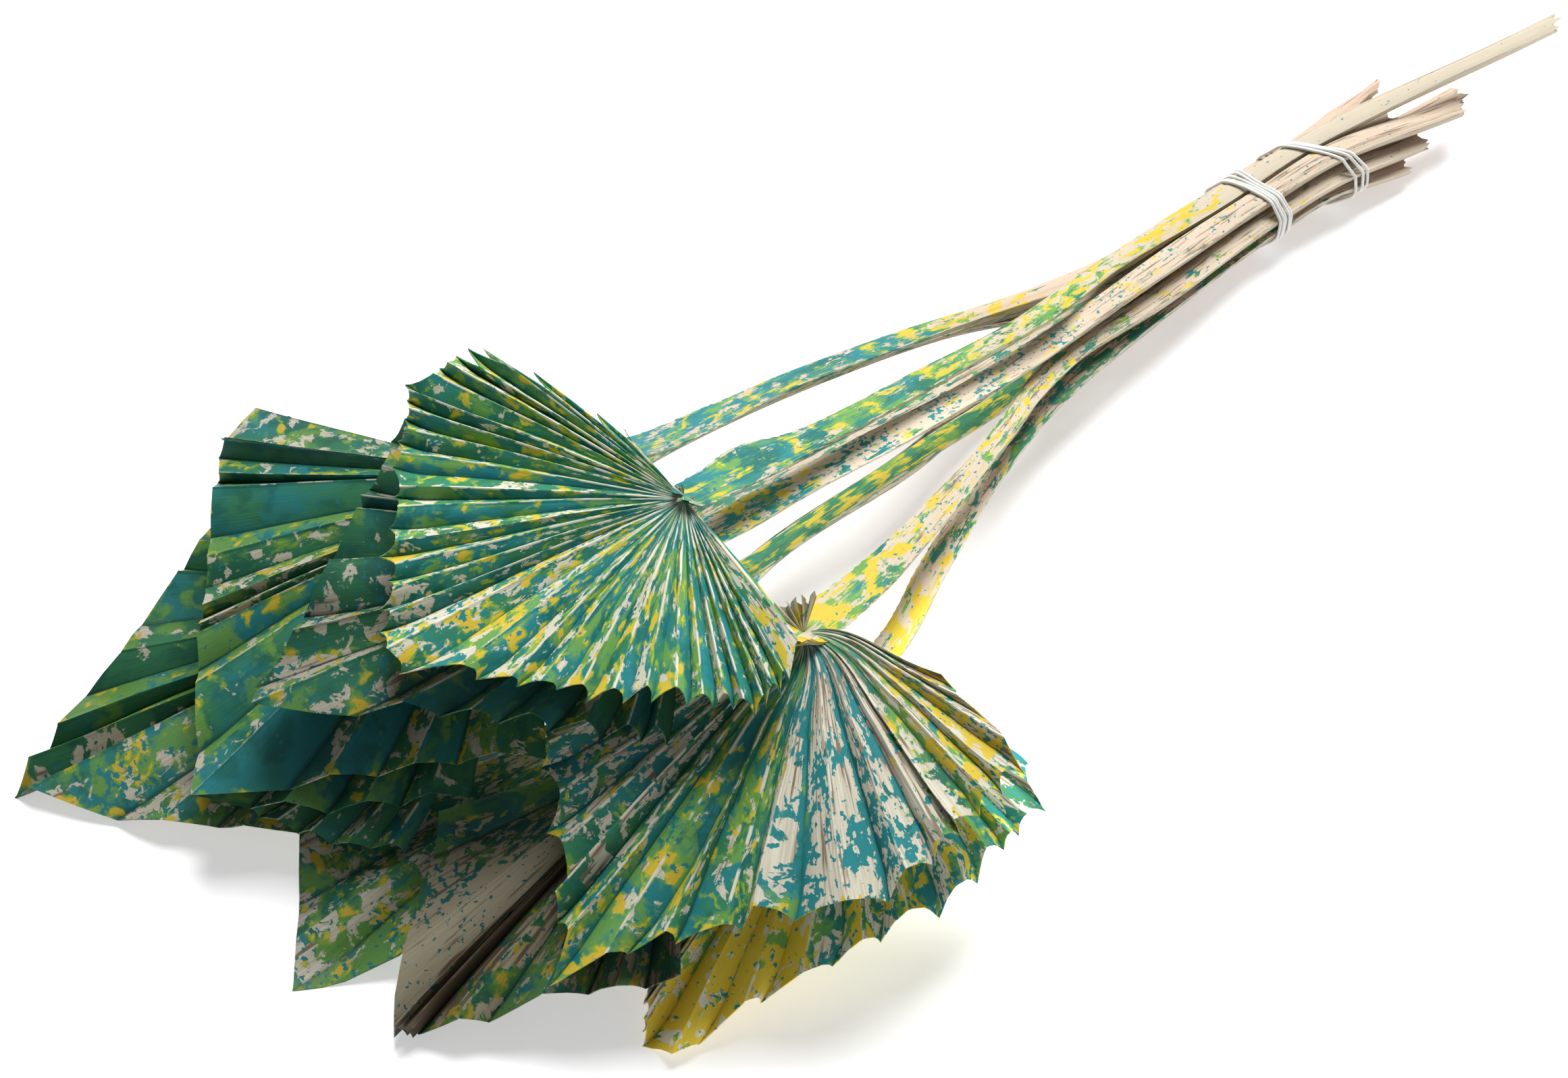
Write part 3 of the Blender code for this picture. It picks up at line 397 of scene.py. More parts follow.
def dye_level(share):
    """The level of a noise pattern that leaves the given share of it above: its spread is about 0.1 round 0.5."""
    shares = (0, 0.01, 0.05, 0.15, 0.3, 0.5, 0.7, 0.85, 0.95, 1)
    levels = (0.95, 0.72, 0.65, 0.595, 0.548, 0.5, 0.452, 0.405, 0.345, 0.1)
    return np.interp(share, shares, levels)


def blade_grid(leaf):
    """The fine grid of a blade: middle sheet points, marks for the finish (among them its painted shade), and the
    strips' local widths.

    Each strip between two folds has columns close to its ridge and spread to its valley, gap being the share of
    the way from ridge to valley. The height across it mixes a straight line and a quarter cosine, with a thin rib
    on the ridge. The rim runs between the folds' lengths, drawn back at the ridges and out at the valleys'
    tips with gap^2.5, and the tips lean over towards the fan's first edge.
    """
    angle, is_ridge, height, paper = fold_lines(leaf)
    rng = np.random.default_rng(leaf["seed"] + 500)
    folds = len(angle)
    cells = len(NEAR_RIDGE) + len(TO_VALLEY) - 1
    column = np.arange((folds - 1) * cells + 1)
    strip = np.minimum(column // cells, folds - 2)
    step = column - strip * cells
    climbs = ~is_ridge[strip]
    from_ridge = np.where(climbs, cells - step, step)
    ridge = np.where(climbs, strip + 1, strip)
    valley = np.where(climbs, strip, strip + 1)

    share = np.linspace(0, 1, BLADE_ROWS)[:, None] ** 0.85
    length = outline_radius(leaf, angle) + rng.normal(0, 0.5, folds)
    for fold, end in leaf["short"]:
        length[fold] = end
    mean_length = (length[ridge] + length[valley]) / 2
    width = np.maximum((HUB_RADIUS + (mean_length - HUB_RADIUS) * share) * paper[strip], 0.05)
    near = np.array([spot[0] for spot in NEAR_RIDGE] + [0.0] * len(TO_VALLEY))
    most = np.array([spot[1] for spot in NEAR_RIDGE] + list(TO_VALLEY))
    close = from_ridge < len(NEAR_RIDGE)
    gap = np.where(close, np.minimum(near[from_ridge] / width, most[from_ridge]), most[from_ridge])

    beside = np.concatenate([paper[:1], paper, paper[-1:]])
    room = np.minimum(beside[:-1], beside[1:]) * length
    swing = np.minimum(leaf["scallop"] * rng.uniform(0.6, 1.3, folds), 0.85 * room)
    ease = gap**2.5
    rim = length[ridge] * (1 - gap) + length[valley] * gap
    rim = rim - 0.55 * swing[ridge] * (1 - ease) + 0.35 * swing[valley] * ease
    radius = HUB_RADIUS + (rim - HUB_RADIUS) * share

    sway = rng.normal(0, leaf["sway"], folds) * paper.mean()
    phase = rng.uniform(0, 2 * np.pi, folds)
    pitch = rng.uniform(20, 45, folds)
    turn = 0
    for fold, weight in ((ridge, 1 - gap), (valley, gap)):
        turn = turn + weight * (angle[fold] + sway[fold] * np.sin(radius / pitch[fold] + phase[fold]))
    lean = leaf["hook"] * np.minimum(swing / max(leaf["scallop"], 0.1), 1)
    near_rim = np.clip((share - 0.86) / 0.14, 0, 1) ** 2
    turn = turn - lean[valley] / radius * ease * near_rim

    rounding = 0.12 + (leaf["round"] - 0.12) * share**1.5
    slope = (1 - gap) * (1 - rounding) + np.cos(gap * np.pi / 2) * rounding
    tall = (height[valley] + (height[ridge] - height[valley]) * slope) * radius
    away = gap * width
    rib = 0.20 * np.clip(1 - (away / 0.45) ** 2, 0, 1) * np.clip(width / 1.5, 0.2, 1)
    belly = rng.normal(0, 0.05, folds - 1)[strip] * width * np.sin(np.pi * gap) * share
    tall = tall + rib + belly + flutter(radius, turn, rng, 0.35) * share
    points = blade_points(leaf, turn, tall, radius, rim)

    flat_turn = np.concatenate([[0.0], np.cumsum(paper)])
    flat_angle = flat_turn[ridge] * (1 - gap) + flat_turn[valley] * gap
    edge_side = np.minimum(flat_angle, flat_turn[-1] - flat_angle) * radius
    bare = leaf["ribs"] * rng.uniform(0.45, 1.0, folds)
    marks = dict(
        radius=radius,
        across=flat_angle,
        turn=np.degrees(turn),
        ridge=bare[ridge] * np.exp(-((away / 0.36) ** 2)),
        valley=np.exp(-(((width - away) / 0.6) ** 2)),
        rim=np.exp(-np.minimum(rim - radius, edge_side) / 1.2),
        # shade: painted light and shade multiplied into the colour: the leaf's tone, darker towards the valleys of
        # steep strips, darker still on the valleys' lines, and darker on every other strip.
        shade=BLADE_DYES[leaf["name"]].get("tone", 1.0) - 0.4 * (np.abs(np.diff(height)) / paper)[strip] ** 2 * gap - 0.2 * (gap > 0.97) - 0.1 * climbs,
    )
    return points, marks, width


def blade_dye(leaf, marks, climbs, tone, under):
    """Dye (cover, teal, light, yellow) and wear (specks, brown, ridge, under) at every face corner.

    Shares of cover, light, yellow and brown are given as levels of the pattern (dye_level). climbs says which strips face the far side, tone is each strip's own chance, under marks the sheet's back.
    """
    look = {**PLAIN_DYE, **BLADE_DYES[leaf["name"]]}
    rows = blend_rows(look["rows"], marks["turn"])
    # Painted light and shade: the far-facing strips' dye is made lighter and the near-facing strips' darker.
    dye = rows[..., :4] + np.where(climbs[..., None], look["far_strip_painted_light"], look["near_strip_painted_shade"])
    # Dye along rim, ridges and valleys; the valleys' darker dye is partly a painted shade in the creases.
    for name in ("rim", "ridge", "valley"):
        dye += marks[name][..., None] * np.array(look[name], float)
    dye += tone[..., None] * np.array((0.09, 0.22, 0.12, 0.015))
    dye[..., 3] *= np.clip(marks["radius"] / 10 - look["worn"] / 12, 0, 1)
    dye = np.clip(np.where(under[..., None], dye * 0.55, dye), 0, 1)
    dye[..., [0, 2, 3]] = dye_level(dye[..., [0, 2, 3]])
    brown = dye_level(rows[..., 5] + 0.8 * np.exp(-marks["radius"] / look["worn"]))
    return dye, np.stack([rows[..., 4], brown, marks["ridge"], np.where(under, 1.0, look["husk"])], -1)


def make_mesh(name, points, faces, attributes, domain="POINT"):
    """A mesh object at the origin from points in the bunch's millimetres, arrays of polygons, and attributes."""
    mesh = bpy.data.meshes.new(name)
    mesh.vertices.add(len(points))
    mesh.vertices.foreach_set("co", ((points + SHIFT) * MM).astype(np.float32).ravel())
    corners = np.concatenate([group.ravel() for group in faces]).astype(np.int32)
    sizes = np.concatenate([np.full(len(group), group.shape[1]) for group in faces])
    mesh.loops.add(len(corners))
    mesh.loops.foreach_set("vertex_index", corners)
    mesh.polygons.add(len(sizes))
    mesh.polygons.foreach_set("loop_start", np.concatenate([[0], np.cumsum(sizes)[:-1]]).astype(np.int32))
    mesh.update(calc_edges=True)
    for key, values in attributes.items():
        colour = values.shape[-1] == 4
        layer = mesh.attributes.new(key, "FLOAT_COLOR" if colour else "FLOAT_VECTOR", domain)
        layer.data.foreach_set("color" if colour else "vector", values.astype(np.float32).ravel())
    mesh.shade_smooth()
    mesh.set_sharp_from_angle(angle=np.radians(50))
    obj = bpy.data.objects.new(name, mesh)
    bpy.context.scene.collection.objects.link(obj)
    return obj


def build_frill(leaf, frill, material):
    """Small dry pleats that stand up beside the crown: frill gives their first and last angle, count and reach.

    The sheet runs out from the crown in a zigzag of half the pleats' pitch, lifts by 0.5 reach (r / reach)^2, and
    ends in ragged tips.
    """
    first, last, count, reach, lift = frill
    rng = np.random.default_rng(leaf["seed"] + 300)
    columns = 4 * count + 1
    angle = np.radians(np.linspace(first, last, columns)) + rng.normal(0, 0.02, columns)
    wave = 1 - 2 * np.abs((np.arange(columns) / 4) % 1 * 2 - 1)
    length = reach * np.repeat(rng.uniform(0.75, 1.0, count + 1), 4)[:columns] * (1 + 0.12 * wave)
    share = np.linspace(0.08, 1, 9)[:, None]
    radius = length * share
    pitch = abs(np.radians(last - first)) / count
    height = 0.55 * pitch * radius * wave + lift * reach * share**2 + 0.7
    bent = angle + 0.5 * share * rng.normal(0, 0.12, columns)
    local = np.stack([radius * np.cos(bent), radius * np.sin(bent), height], -1)
    middle = local @ rotation(leaf["heading"], leaf["dip"], leaf["roll"]).T + np.array(leaf["crown"], float)
    normal = grid_normals(middle) * np.minimum(0.15, 0.04 * radius)[..., None]
    points = np.concatenate([(middle + normal).reshape(-1, 3), (middle - normal).reshape(-1, 3)])
    full = np.ones_like(radius)
    dye = np.stack([dye_level(0.25) * full, 0.3 * full, dye_level(0.3) * full, dye_level(0.25) * full], -1)
    wear = np.stack([0 * full, dye_level(0.22) * full, (wave > 0.9) * full, 0 * full], -1)
    # The fourth number is a painted shade, darker in the frill's low folds and lighter on its crests.
    paint = np.stack([np.arange(columns) * 0.7 * full, radius, full * leaf["seed"] * 170.0, 0.8 + 0.2 * wave * full], -1)
    layers = {"paint": paint, "dye": dye, "wear": wear}
    layers = {key: np.tile(values.reshape(-1, values.shape[-1]), (2, 1)) for key, values in layers.items()}
    obj = make_mesh(leaf["name"] + "_frill", points, [sheet_faces(len(share), columns)], layers)
    obj.data.materials.append(material)
    return obj


def build_blade(leaf, material):
    """The pleated blade as one thin closed sheet. Each strip has its own stretch of the dye's pattern."""
    middle, marks, width = blade_grid(leaf)
    rows, columns = middle.shape[:2]
    normal = grid_normals(middle)
    up = rotation(leaf["heading"], leaf["dip"], leaf["roll"])[:, 2]
    normal *= np.sign((normal @ up).mean())
    half = np.minimum(0.17, 0.12 * width)[..., None]
    top, bottom = middle + normal * half, middle - normal * half
    bottom[..., 2] = np.maximum(bottom[..., 2], 0.02)
    top[..., 2] = np.maximum(top[..., 2], 0.36)
    faces = sheet_faces(rows, columns)

    count = rows * columns
    cells = len(NEAR_RIDGE) + len(TO_VALLEY) - 1
    vertex = faces % count
    strip = np.minimum((vertex % columns).min(axis=1) // cells, columns // cells - 1)
    rng = np.random.default_rng(leaf["seed"] + 700)
    tone = rng.normal(0, 1, columns // cells)[strip]
    climbs = strip % 2 == (1 if leaf["edge_ridge"] else 0)
    at = {name: values.ravel()[vertex] for name, values in marks.items()}
    wide = np.ones((1, 4))
    dye, wear = blade_dye(leaf, at, climbs[:, None] & (wide > 0), tone[:, None] * wide, faces >= count)
    # The paint's fourth number carries the painted shade.
    paint = [at["across"] * 55, at["radius"], strip[:, None] * 5.3 + leaf["seed"] * 200.0 * wide, at["shade"]]
    paint = np.stack(paint, -1)
    points = np.concatenate([top.reshape(-1, 3), bottom.reshape(-1, 3)])
    obj = make_mesh(leaf["name"] + "_blade", points, [faces], {"paint": paint, "dye": dye, "wear": wear}, "CORNER")
    obj.data.materials.append(material)
    return obj


def smooth_path(points, first, last, count, kept):
    """Hermite curve through the points (Catmull-Rom tangents inside, given ones at the ends).

    Returns count evenly spaced points of it and the kept ones, their directions, their places along it (0..1)
    and the places of the points that it runs through.
    """
    points = np.array(points, float)
    step = np.linalg.norm(np.diff(points, axis=0), axis=1)
    slope = np.diff(points, axis=0) / step[:, None]
    tangent = np.empty_like(points)
    tangent[1:-1] = slope[:-1] * step[1:, None] + slope[1:] * step[:-1, None]
    tangent[1:-1] /= (step[:-1] + step[1:])[:, None]
    tangent[0], tangent[-1] = first, last
    at = np.concatenate([[0.0], np.cumsum(step)])
    where = np.unique(np.concatenate([np.linspace(0, at[-1], count), at[kept]]))
    piece = np.clip(np.searchsorted(at, where, side="right") - 1, 0, len(step) - 1)
    t = ((where - at[piece]) / step[piece])[:, None]
    d = step[piece][:, None]
    a, b = points[piece], points[piece + 1]
    m, n = tangent[piece] * d, tangent[piece + 1] * d
    ease = 3 * t**2 - 2 * t**3
    curve = (1 - ease) * a + ease * b + (t**3 - 2 * t**2 + t) * m + (t**3 - t**2) * n
    speed = 6 * (t - t**2) * (b - a) + (3 * t**2 - 4 * t + 1) * m + (3 * t**2 - 2 * t) * n
    return curve, speed / np.linalg.norm(speed, axis=1)[:, None], where / at[-1], at / at[-1]


def slot_point(slot, station):
    """Where a stem passes a gathering station: row from the bottom, column from the far side."""
    row, column = slot
    across = COLUMN_PITCH * ((ROW_SIZES[row] - 1) / 2 - column)
    loose = GATHER_LOOSE[station]
    height = FIRST_ROW_Z + GATHER_LIFT[station] + loose * ROW_PITCH * row
    return np.array([GATHER_X[station], GATHER_Y[station] + loose * across, height])


def stem_path(leaf, count):
    """The stem's centre line from its cut end to the crown, where it arrives straight from its last bend."""
    crown = np.array(leaf["crown"], float)
    butt = np.array(leaf["butt"], float)
    inward = slot_point(leaf["slot"], 2) - butt
    if butt[2] < LEVEL_BELOW:
        inward[2] = 0
    inward /= np.linalg.norm(inward)
    arrive = crown - np.array(leaf["via"][0], float)
    arrive /= np.linalg.norm(arrive)
    points = [butt, butt + END_LENGTH * inward]
    points += [slot_point(leaf["slot"], station) for station in (2, 1, 0)]
    points += list(reversed(leaf["via"])) + [crown]
    return smooth_path(points, inward, arrive, count, [1, 2, 3, GATHER_KNOT])


def stem_frame(leaf, count):
    """The stem's centre line with its side and up directions, width and thickness at each of its rings."""
    curve, tangent, where, knots = stem_path(leaf, count)
    gather = knots[GATHER_KNOT]
    long = np.linalg.norm(np.diff(curve, axis=0), axis=1).sum()
    from_crown = (1 - where) * long
    blade_up = rotation(leaf["heading"], leaf["dip"], leaf["roll"])[:, 2]
    blend = np.clip((where - gather) / (1 - gather), 0, 1)[:, None]
    blend = blend**2 * (3 - 2 * blend)
    up = (1 - blend) * np.array([0.0, 0.0, 1.0]) + blend * blade_up
    side = np.cross(up, tangent)
    side /= np.linalg.norm(side, axis=1)[:, None]
    up = np.cross(tangent, side)
    width = np.interp(from_crown, *np.transpose(leaf["widths"]))
    width = width * (1 - 0.35 * np.clip(1 - from_crown / 3.0, 0, 1) ** 2)
    thick = np.interp(from_crown, *np.transpose(STEM_THICKNESS))
    return dict(curve=curve, tangent=tangent, side=side, up=up, width=width, thick=thick, where=where,
                from_crown=from_crown)


def stem_section():
    """The stem's section as (across, up) shares: a gently domed top over a rounded back, sharp at both edges.

    back(x) = 0.26 - 0.80 sqrt(1 - (2x)^4) and channel(x) = 0.38 - 0.12 (2x)^2, x running from -0.5 to 0.5.
    """
    x = -0.5 * np.cos(np.linspace(0, np.pi, SECTION_STEPS + 1))
    back = np.column_stack([x, 0.26 - 0.80 * np.sqrt(np.maximum(1 - (2 * x) ** 4, 0))])
    channel = np.column_stack([x, 0.38 - 0.12 * (2 * x) ** 2])
    return np.concatenate([back, channel[-2:0:-1]])


def build_stem(leaf, material):
    """The stem: a channelled bar with fibre grooves, a slanting cut end and a torn tongue over the fan's hub.

    Each ring is the section times the local width and thickness. slant slides the cut end along the stem in
    proportion to the place across it, lip slides the tongue's middle forward, and teeth notch the two edges.
    """
    at = stem_frame(leaf, STEM_RINGS)
    rng = np.random.default_rng(leaf["seed"] + 900)
    ring = stem_section()
    columns = len(ring)
    along = np.concatenate([[0.0], np.cumsum(np.linalg.norm(np.diff(at["curve"], axis=0), axis=1))])
    far_along = along[:, None]
    groove = rng.normal(0, 0.07, columns) * (1 + 0.6 * np.sin(far_along / rng.uniform(9, 35, columns)))
    edge = np.clip(np.abs(ring[:, 0]) * 2 - 0.9, 0, 0.1) * 10
    from_crown = at["from_crown"][:, None]
    bite = rng.uniform(0, 1.0, len(along))[:, None] * leaf["teeth"] * edge * np.clip(1.6 - from_crown / 60, 0, 1)
    torn = leaf["wing"] * np.exp(-(((from_crown - 24) / 11) ** 2)) * np.clip(-2 * ring[:, 0], 0, 1) ** 3
    wave = 0.25 * np.sin(far_along / 11 + leaf["seed"]) * edge
    across = ring[:, 0] * at["width"][:, None] - np.sign(ring[:, 0]) * (bite + wave) - torn
    rise = ring[:, 1] * at["thick"][:, None] + groove * np.clip(1 - edge, 0, 1)
    rise = rise + leaf["lip_up"] * np.clip(1 - from_crown / 3.5, 0, 1) ** 2
    tear = rng.normal(0, 0.5, columns)
    slide = (leaf["slant"] * (0.5 + ring[:, 0]) + 2 * tear) * np.clip(1 - far_along / (8 + leaf["slant"]), 0, 1)
    tongue = leaf["lip"] * (1 - 0.6 * (2 * ring[:, 0]) ** 2) + tear
    slide = slide + tongue * np.clip(1 - (along[-1] - far_along) / 4.0, 0, 1)
    points = (at["curve"][:, None, :] + at["side"][:, None, :] * across[..., None]
              + at["up"][:, None, :] * rise[..., None] + at["tangent"][:, None, :] * slide[..., None])

    around = np.concatenate([[0.0], np.cumsum(np.linalg.norm(np.diff(ring, axis=0), axis=1))])
    rows = blend_rows(STEM_DYES[leaf["name"]], at["where"])
    under = np.clip(-ring[:, 1] * 3, 0, 1)
    dye = rows[:, None, :4] * (1 - 0.5 * under[None, :, None])
    dye[..., [0, 2, 3]] = dye_level(dye[..., [0, 2, 3]])
    full = np.ones((len(along), columns))
    husk = STEM_HUSKS.get(leaf["name"], 0.0) * (1 - at["where"][:, None]) ** 0.7
    # Painted light and shade: the stem brightens or darkens towards its crown by its listed brightness, and its back is
    # darkened by 0.2; both go into the paint's fourth number.
    tone = 1 + (STEM_PAINTED_LIGHT.get(leaf["name"], 1.0) - 1) * at["where"][:, None] ** 3
    wear = np.stack([rows[:, 4:5] * full, dye_level(rows[:, 5:6]) * full, edge * full, np.maximum(under, husk) * full], -1)
    paint = np.stack([around * 9.0 * full, far_along * full, full * leaf["seed"] * 200.0, tone - 0.2 * under * full], -1)

    ends = []
    for end, into in ((0, 1), (-1, -1)):
        centre = points[end].mean(axis=0)
        for share, deep in ((0.80, 0.3), (0.45, 0.7), (0.02, 0.9)):
            ends.append(centre + (points[end] - centre) * share + at["tangent"][end] * deep * into)
    stack = np.concatenate([np.array(ends[:3])[::-1], points, np.array(ends[3:])])
    stack[..., 2] = np.maximum(stack[..., 2], 0.02)
    index = np.clip(np.arange(len(stack)) - 3, 0, len(along) - 1)
    quads = grid_quads(len(stack), columns, closed=True)[:, ::-1]
    last = (len(stack) - 1) * columns
    caps = np.stack([np.arange(columns), np.arange(last + columns - 1, last - 1, -1)])
    layers = {"paint": paint[index], "dye": dye[index], "wear": wear[index]}
    layers = {key: values.reshape(-1, values.shape[-1]) for key, values in layers.items()}
    obj = make_mesh(leaf["name"] + "_stem", stack.reshape(-1, 3), [quads, caps], layers)
    obj.data.materials.append(material)
    return obj


def hull(points):
    """Corners of the convex hull of 2-D points, anticlockwise."""
    points = sorted(map(tuple, points))
    sides = []
    for run in (points, points[::-1]):
        side = []
        for p in run:
            while len(side) > 1:
                a, b = side[-2], side[-1]
                if (b[0] - a[0]) * (p[1] - a[1]) - (b[1] - a[1]) * (p[0] - a[0]) > 0:
                    break
                side.pop()
            side.append(p)
        sides += side[:-1]
    return np.array(sides)


def stem_crossings(x0, y0, lean):
    """The (y, z) points where the stems' lengthwise edges pass the plane x = x0 + lean (y - y0)."""
    found = []
    section = stem_section()
    for leaf in LEAVES.values():
        at = stem_frame(leaf, 40)
        edges = (at["curve"][:, None, :] + at["side"][:, None, :] * (section[None, :, :1] * at["width"][:, None, None])
                 + at["up"][:, None, :] * (section[None, :, 1:] * at["thick"][:, None, None]))
        ahead = edges[..., 0] - x0 - lean * (edges[..., 1] - y0)
        ring, column = np.nonzero(ahead[:-1] * ahead[1:] <= 0)
        share = ahead[ring, column] / (ahead[ring, column] - ahead[ring + 1, column])
        crossing = edges[ring, column] * (1 - share[:, None]) + edges[ring + 1, column] * share[:, None]
        found.append(crossing[:, 1:])
    return np.concatenate(found)


def tight_loop(x0, y0, lean, out_by):
    """One turn round the stems in (y, z), as 240 even steps from its lowest point, and its directions outwards.

    The loop is the stems' hull pushed out by the cord's radius, then smoothed as a stretched cord rounds corners.
    """
    corners = hull(stem_crossings(x0, y0, lean))
    angle = np.linspace(0, 2 * np.pi, 1441)[:-1] - np.pi / 2
    out = np.stack([np.cos(angle), np.sin(angle)], 1)
    loop = corners[np.argmax(out @ corners.T, axis=1)] + out * out_by
    closed = np.concatenate([loop, loop[:1]])
    at = np.concatenate([[0.0], np.cumsum(np.linalg.norm(np.diff(closed, axis=0), axis=1))])
    even = np.linspace(0, at[-1], 241)[:-1]
    loop = np.stack([np.interp(even, at, closed[:, k]) for k in (0, 1)], 1)
    for _ in range(6):
        loop = 0.5 * loop + 0.25 * np.roll(loop, 1, axis=0) + 0.25 * np.roll(loop, -1, axis=0)
    run = np.roll(loop, -1, axis=0) - np.roll(loop, 1, axis=0)
    out = np.stack([run[:, 1], -run[:, 0]], 1)
    return loop, out / np.linalg.norm(out, axis=1)[:, None]


def build_band(name, material):
    """A white elastic cord wound round the stems: a round tube carried along its turns.

    x = x0 + lean (y - y0) + spacing (turn - half) + (far_gap a + near_gap b) sign, where a and b grow towards the
    top of the far side and of the near side, so that the turns part there into two groups.
    """
    band = BANDS[name]
    rng = np.random.default_rng(band["seed"])
    x0, y0 = GATHER_X[band["station"]], GATHER_Y[band["station"]]
    loop, outward = tight_loop(x0, y0, band["lean"], CORD_RADIUS)
    count = band["turns"] * CORD_STEPS + 1
    turn = np.linspace(0, band["turns"], count)
    spot = (turn % 1) * len(loop)
    low = spot.astype(int) % len(loop)
    share = (spot % 1)[:, None]
    yz = loop[low] * (1 - share) + loop[(low + 1) % len(loop)] * share
    out = outward[low] * (1 - share) + outward[(low + 1) % len(loop)] * share
    angle = 2 * np.pi * turn
    group = np.tanh((turn - band["turns"] / 2) * 1.6)
    far = np.clip(np.sin(angle + np.radians(10)), 0, 1) ** 2
    near = np.clip(-np.sin(angle - np.radians(10)), 0, 1) ** 2
    apart = band["spacing"] * (turn - band["turns"] / 2) + group * (band["far_gap"] * far + band["near_gap"] * near)
    for pitch in (1.0, 2.3):
        apart = apart + 0.12 * np.sin(angle * pitch / 2 + rng.uniform(0, 2 * np.pi))
    lift = 0.12 * np.sin(angle * 1.5 + rng.uniform(0, 2 * np.pi)) + 0.12
    yz = yz + out * lift[:, None]
    centre = np.column_stack([x0 + band["lean"] * (yz[:, 0] - y0) + apart, yz])
    out = np.column_stack([np.zeros(count), out])
    tangent = np.gradient(centre, axis=0)
    tangent /= np.linalg.norm(tangent, axis=1)[:, None]
    side = np.cross(tangent, out)
    side /= np.linalg.norm(side, axis=1)[:, None]
    out = np.cross(side, tangent)
    around = 2 * np.pi * np.arange(CORD_SIDES) / CORD_SIDES
    ring = 0.9 * np.cos(around)[:, None] * out[:, None, :] + np.sin(around)[:, None] * side[:, None, :]
    points = centre[:, None, :] + CORD_RADIUS * ring
    along = np.concatenate([[0.0], np.cumsum(np.linalg.norm(np.diff(centre, axis=0), axis=1))])
    cord = np.stack(np.broadcast_arrays(np.arange(CORD_SIDES)[None, :] * 0.3, along[:, None], 0.0), -1)
    quads = grid_quads(count, CORD_SIDES, closed=True)
    last = (count - 1) * CORD_SIDES
    caps = np.stack([np.arange(CORD_SIDES - 1, -1, -1), np.arange(last, last + CORD_SIDES)])
    obj = make_mesh(name + "_elastic", points.reshape(-1, 3), [quads, caps], {"paint": cord.reshape(-1, 3)})
    obj.data.materials.append(material)
    return obj


class Finish:
    """A material being put together: each call adds one node and gives back its output socket."""

    def __init__(self, name):
        self.material = bpy.data.materials.new(name)
        self.material.use_nodes = True
        self.tree = self.material.node_tree
        self.shader = self.tree.nodes["Principled BSDF"]

    def node(self, kind, inputs, output=0, **settings):
        made = self.tree.nodes.new(kind)
        for key, value in settings.items():
            setattr(made, key, value)
        for key, value in inputs.items():
            self.put(made.inputs[key], value)
        return made.outputs[output]

    def put(self, socket, value):
        if isinstance(value, bpy.types.NodeSocket):
            self.tree.links.new(value, socket)
        else:
            socket.default_value = value

    def math(self, operation, a, b=0.0, clamp=False):
        return self.node("ShaderNodeMath", {0: a, 1: b}, operation=operation, use_clamp=clamp)

    def attribute(self, name, output="Vector"):
        return self.node("ShaderNodeAttribute", {}, output, attribute_name=name)

    def parts(self, name):
        """The four numbers of a colour attribute."""
        split = self.tree.nodes.new("ShaderNodeSeparateColor")
        self.put(split.inputs[0], self.attribute(name, "Color"))
        return (*split.outputs[:3], self.attribute(name, "Alpha"))

    def stretched(self, vector, scale, move=(0.0, 0.0, 0.0)):
        return self.node("ShaderNodeMapping", {"Vector": vector, "Scale": scale, "Location": move})

    def noise(self, vector, scale, detail=2.0, rough=0.5, distortion=0.0):
        inputs = {"Vector": vector, "Scale": scale, "Detail": detail, "Roughness": rough, "Distortion": distortion}
        return self.node("ShaderNodeTexNoise", inputs, "Fac")

    def step(self, value, low, high):
        """0 below low and 1 above high, eased between."""
        inputs = {"Value": value, "From Min": low, "From Max": high}
        return self.node("ShaderNodeMapRange", inputs, interpolation_type="SMOOTHSTEP")

    def spread(self, value, low, high):
        """A 0 to 1 value stretched over low to high."""
        return self.node("ShaderNodeMapRange", {"Value": value, "To Min": low, "To Max": high})

    def mix(self, share, a, b, blend="MIX"):
        made = self.tree.nodes.new("ShaderNodeMix")
        made.data_type = "RGBA"
        made.blend_type = blend
        self.put(made.inputs[0], share)
        self.put(made.inputs[6], a)
        self.put(made.inputs[7], b)
        return made.outputs[2]

    def cover(self, pattern, level, width):
        """Where a dye lies: 1 where the pattern is over the level, with an edge of the given width."""
        share = self.math("DIVIDE", self.math("SUBTRACT", pattern, level), width)
        return self.math("ADD", share, 0.5, clamp=True)


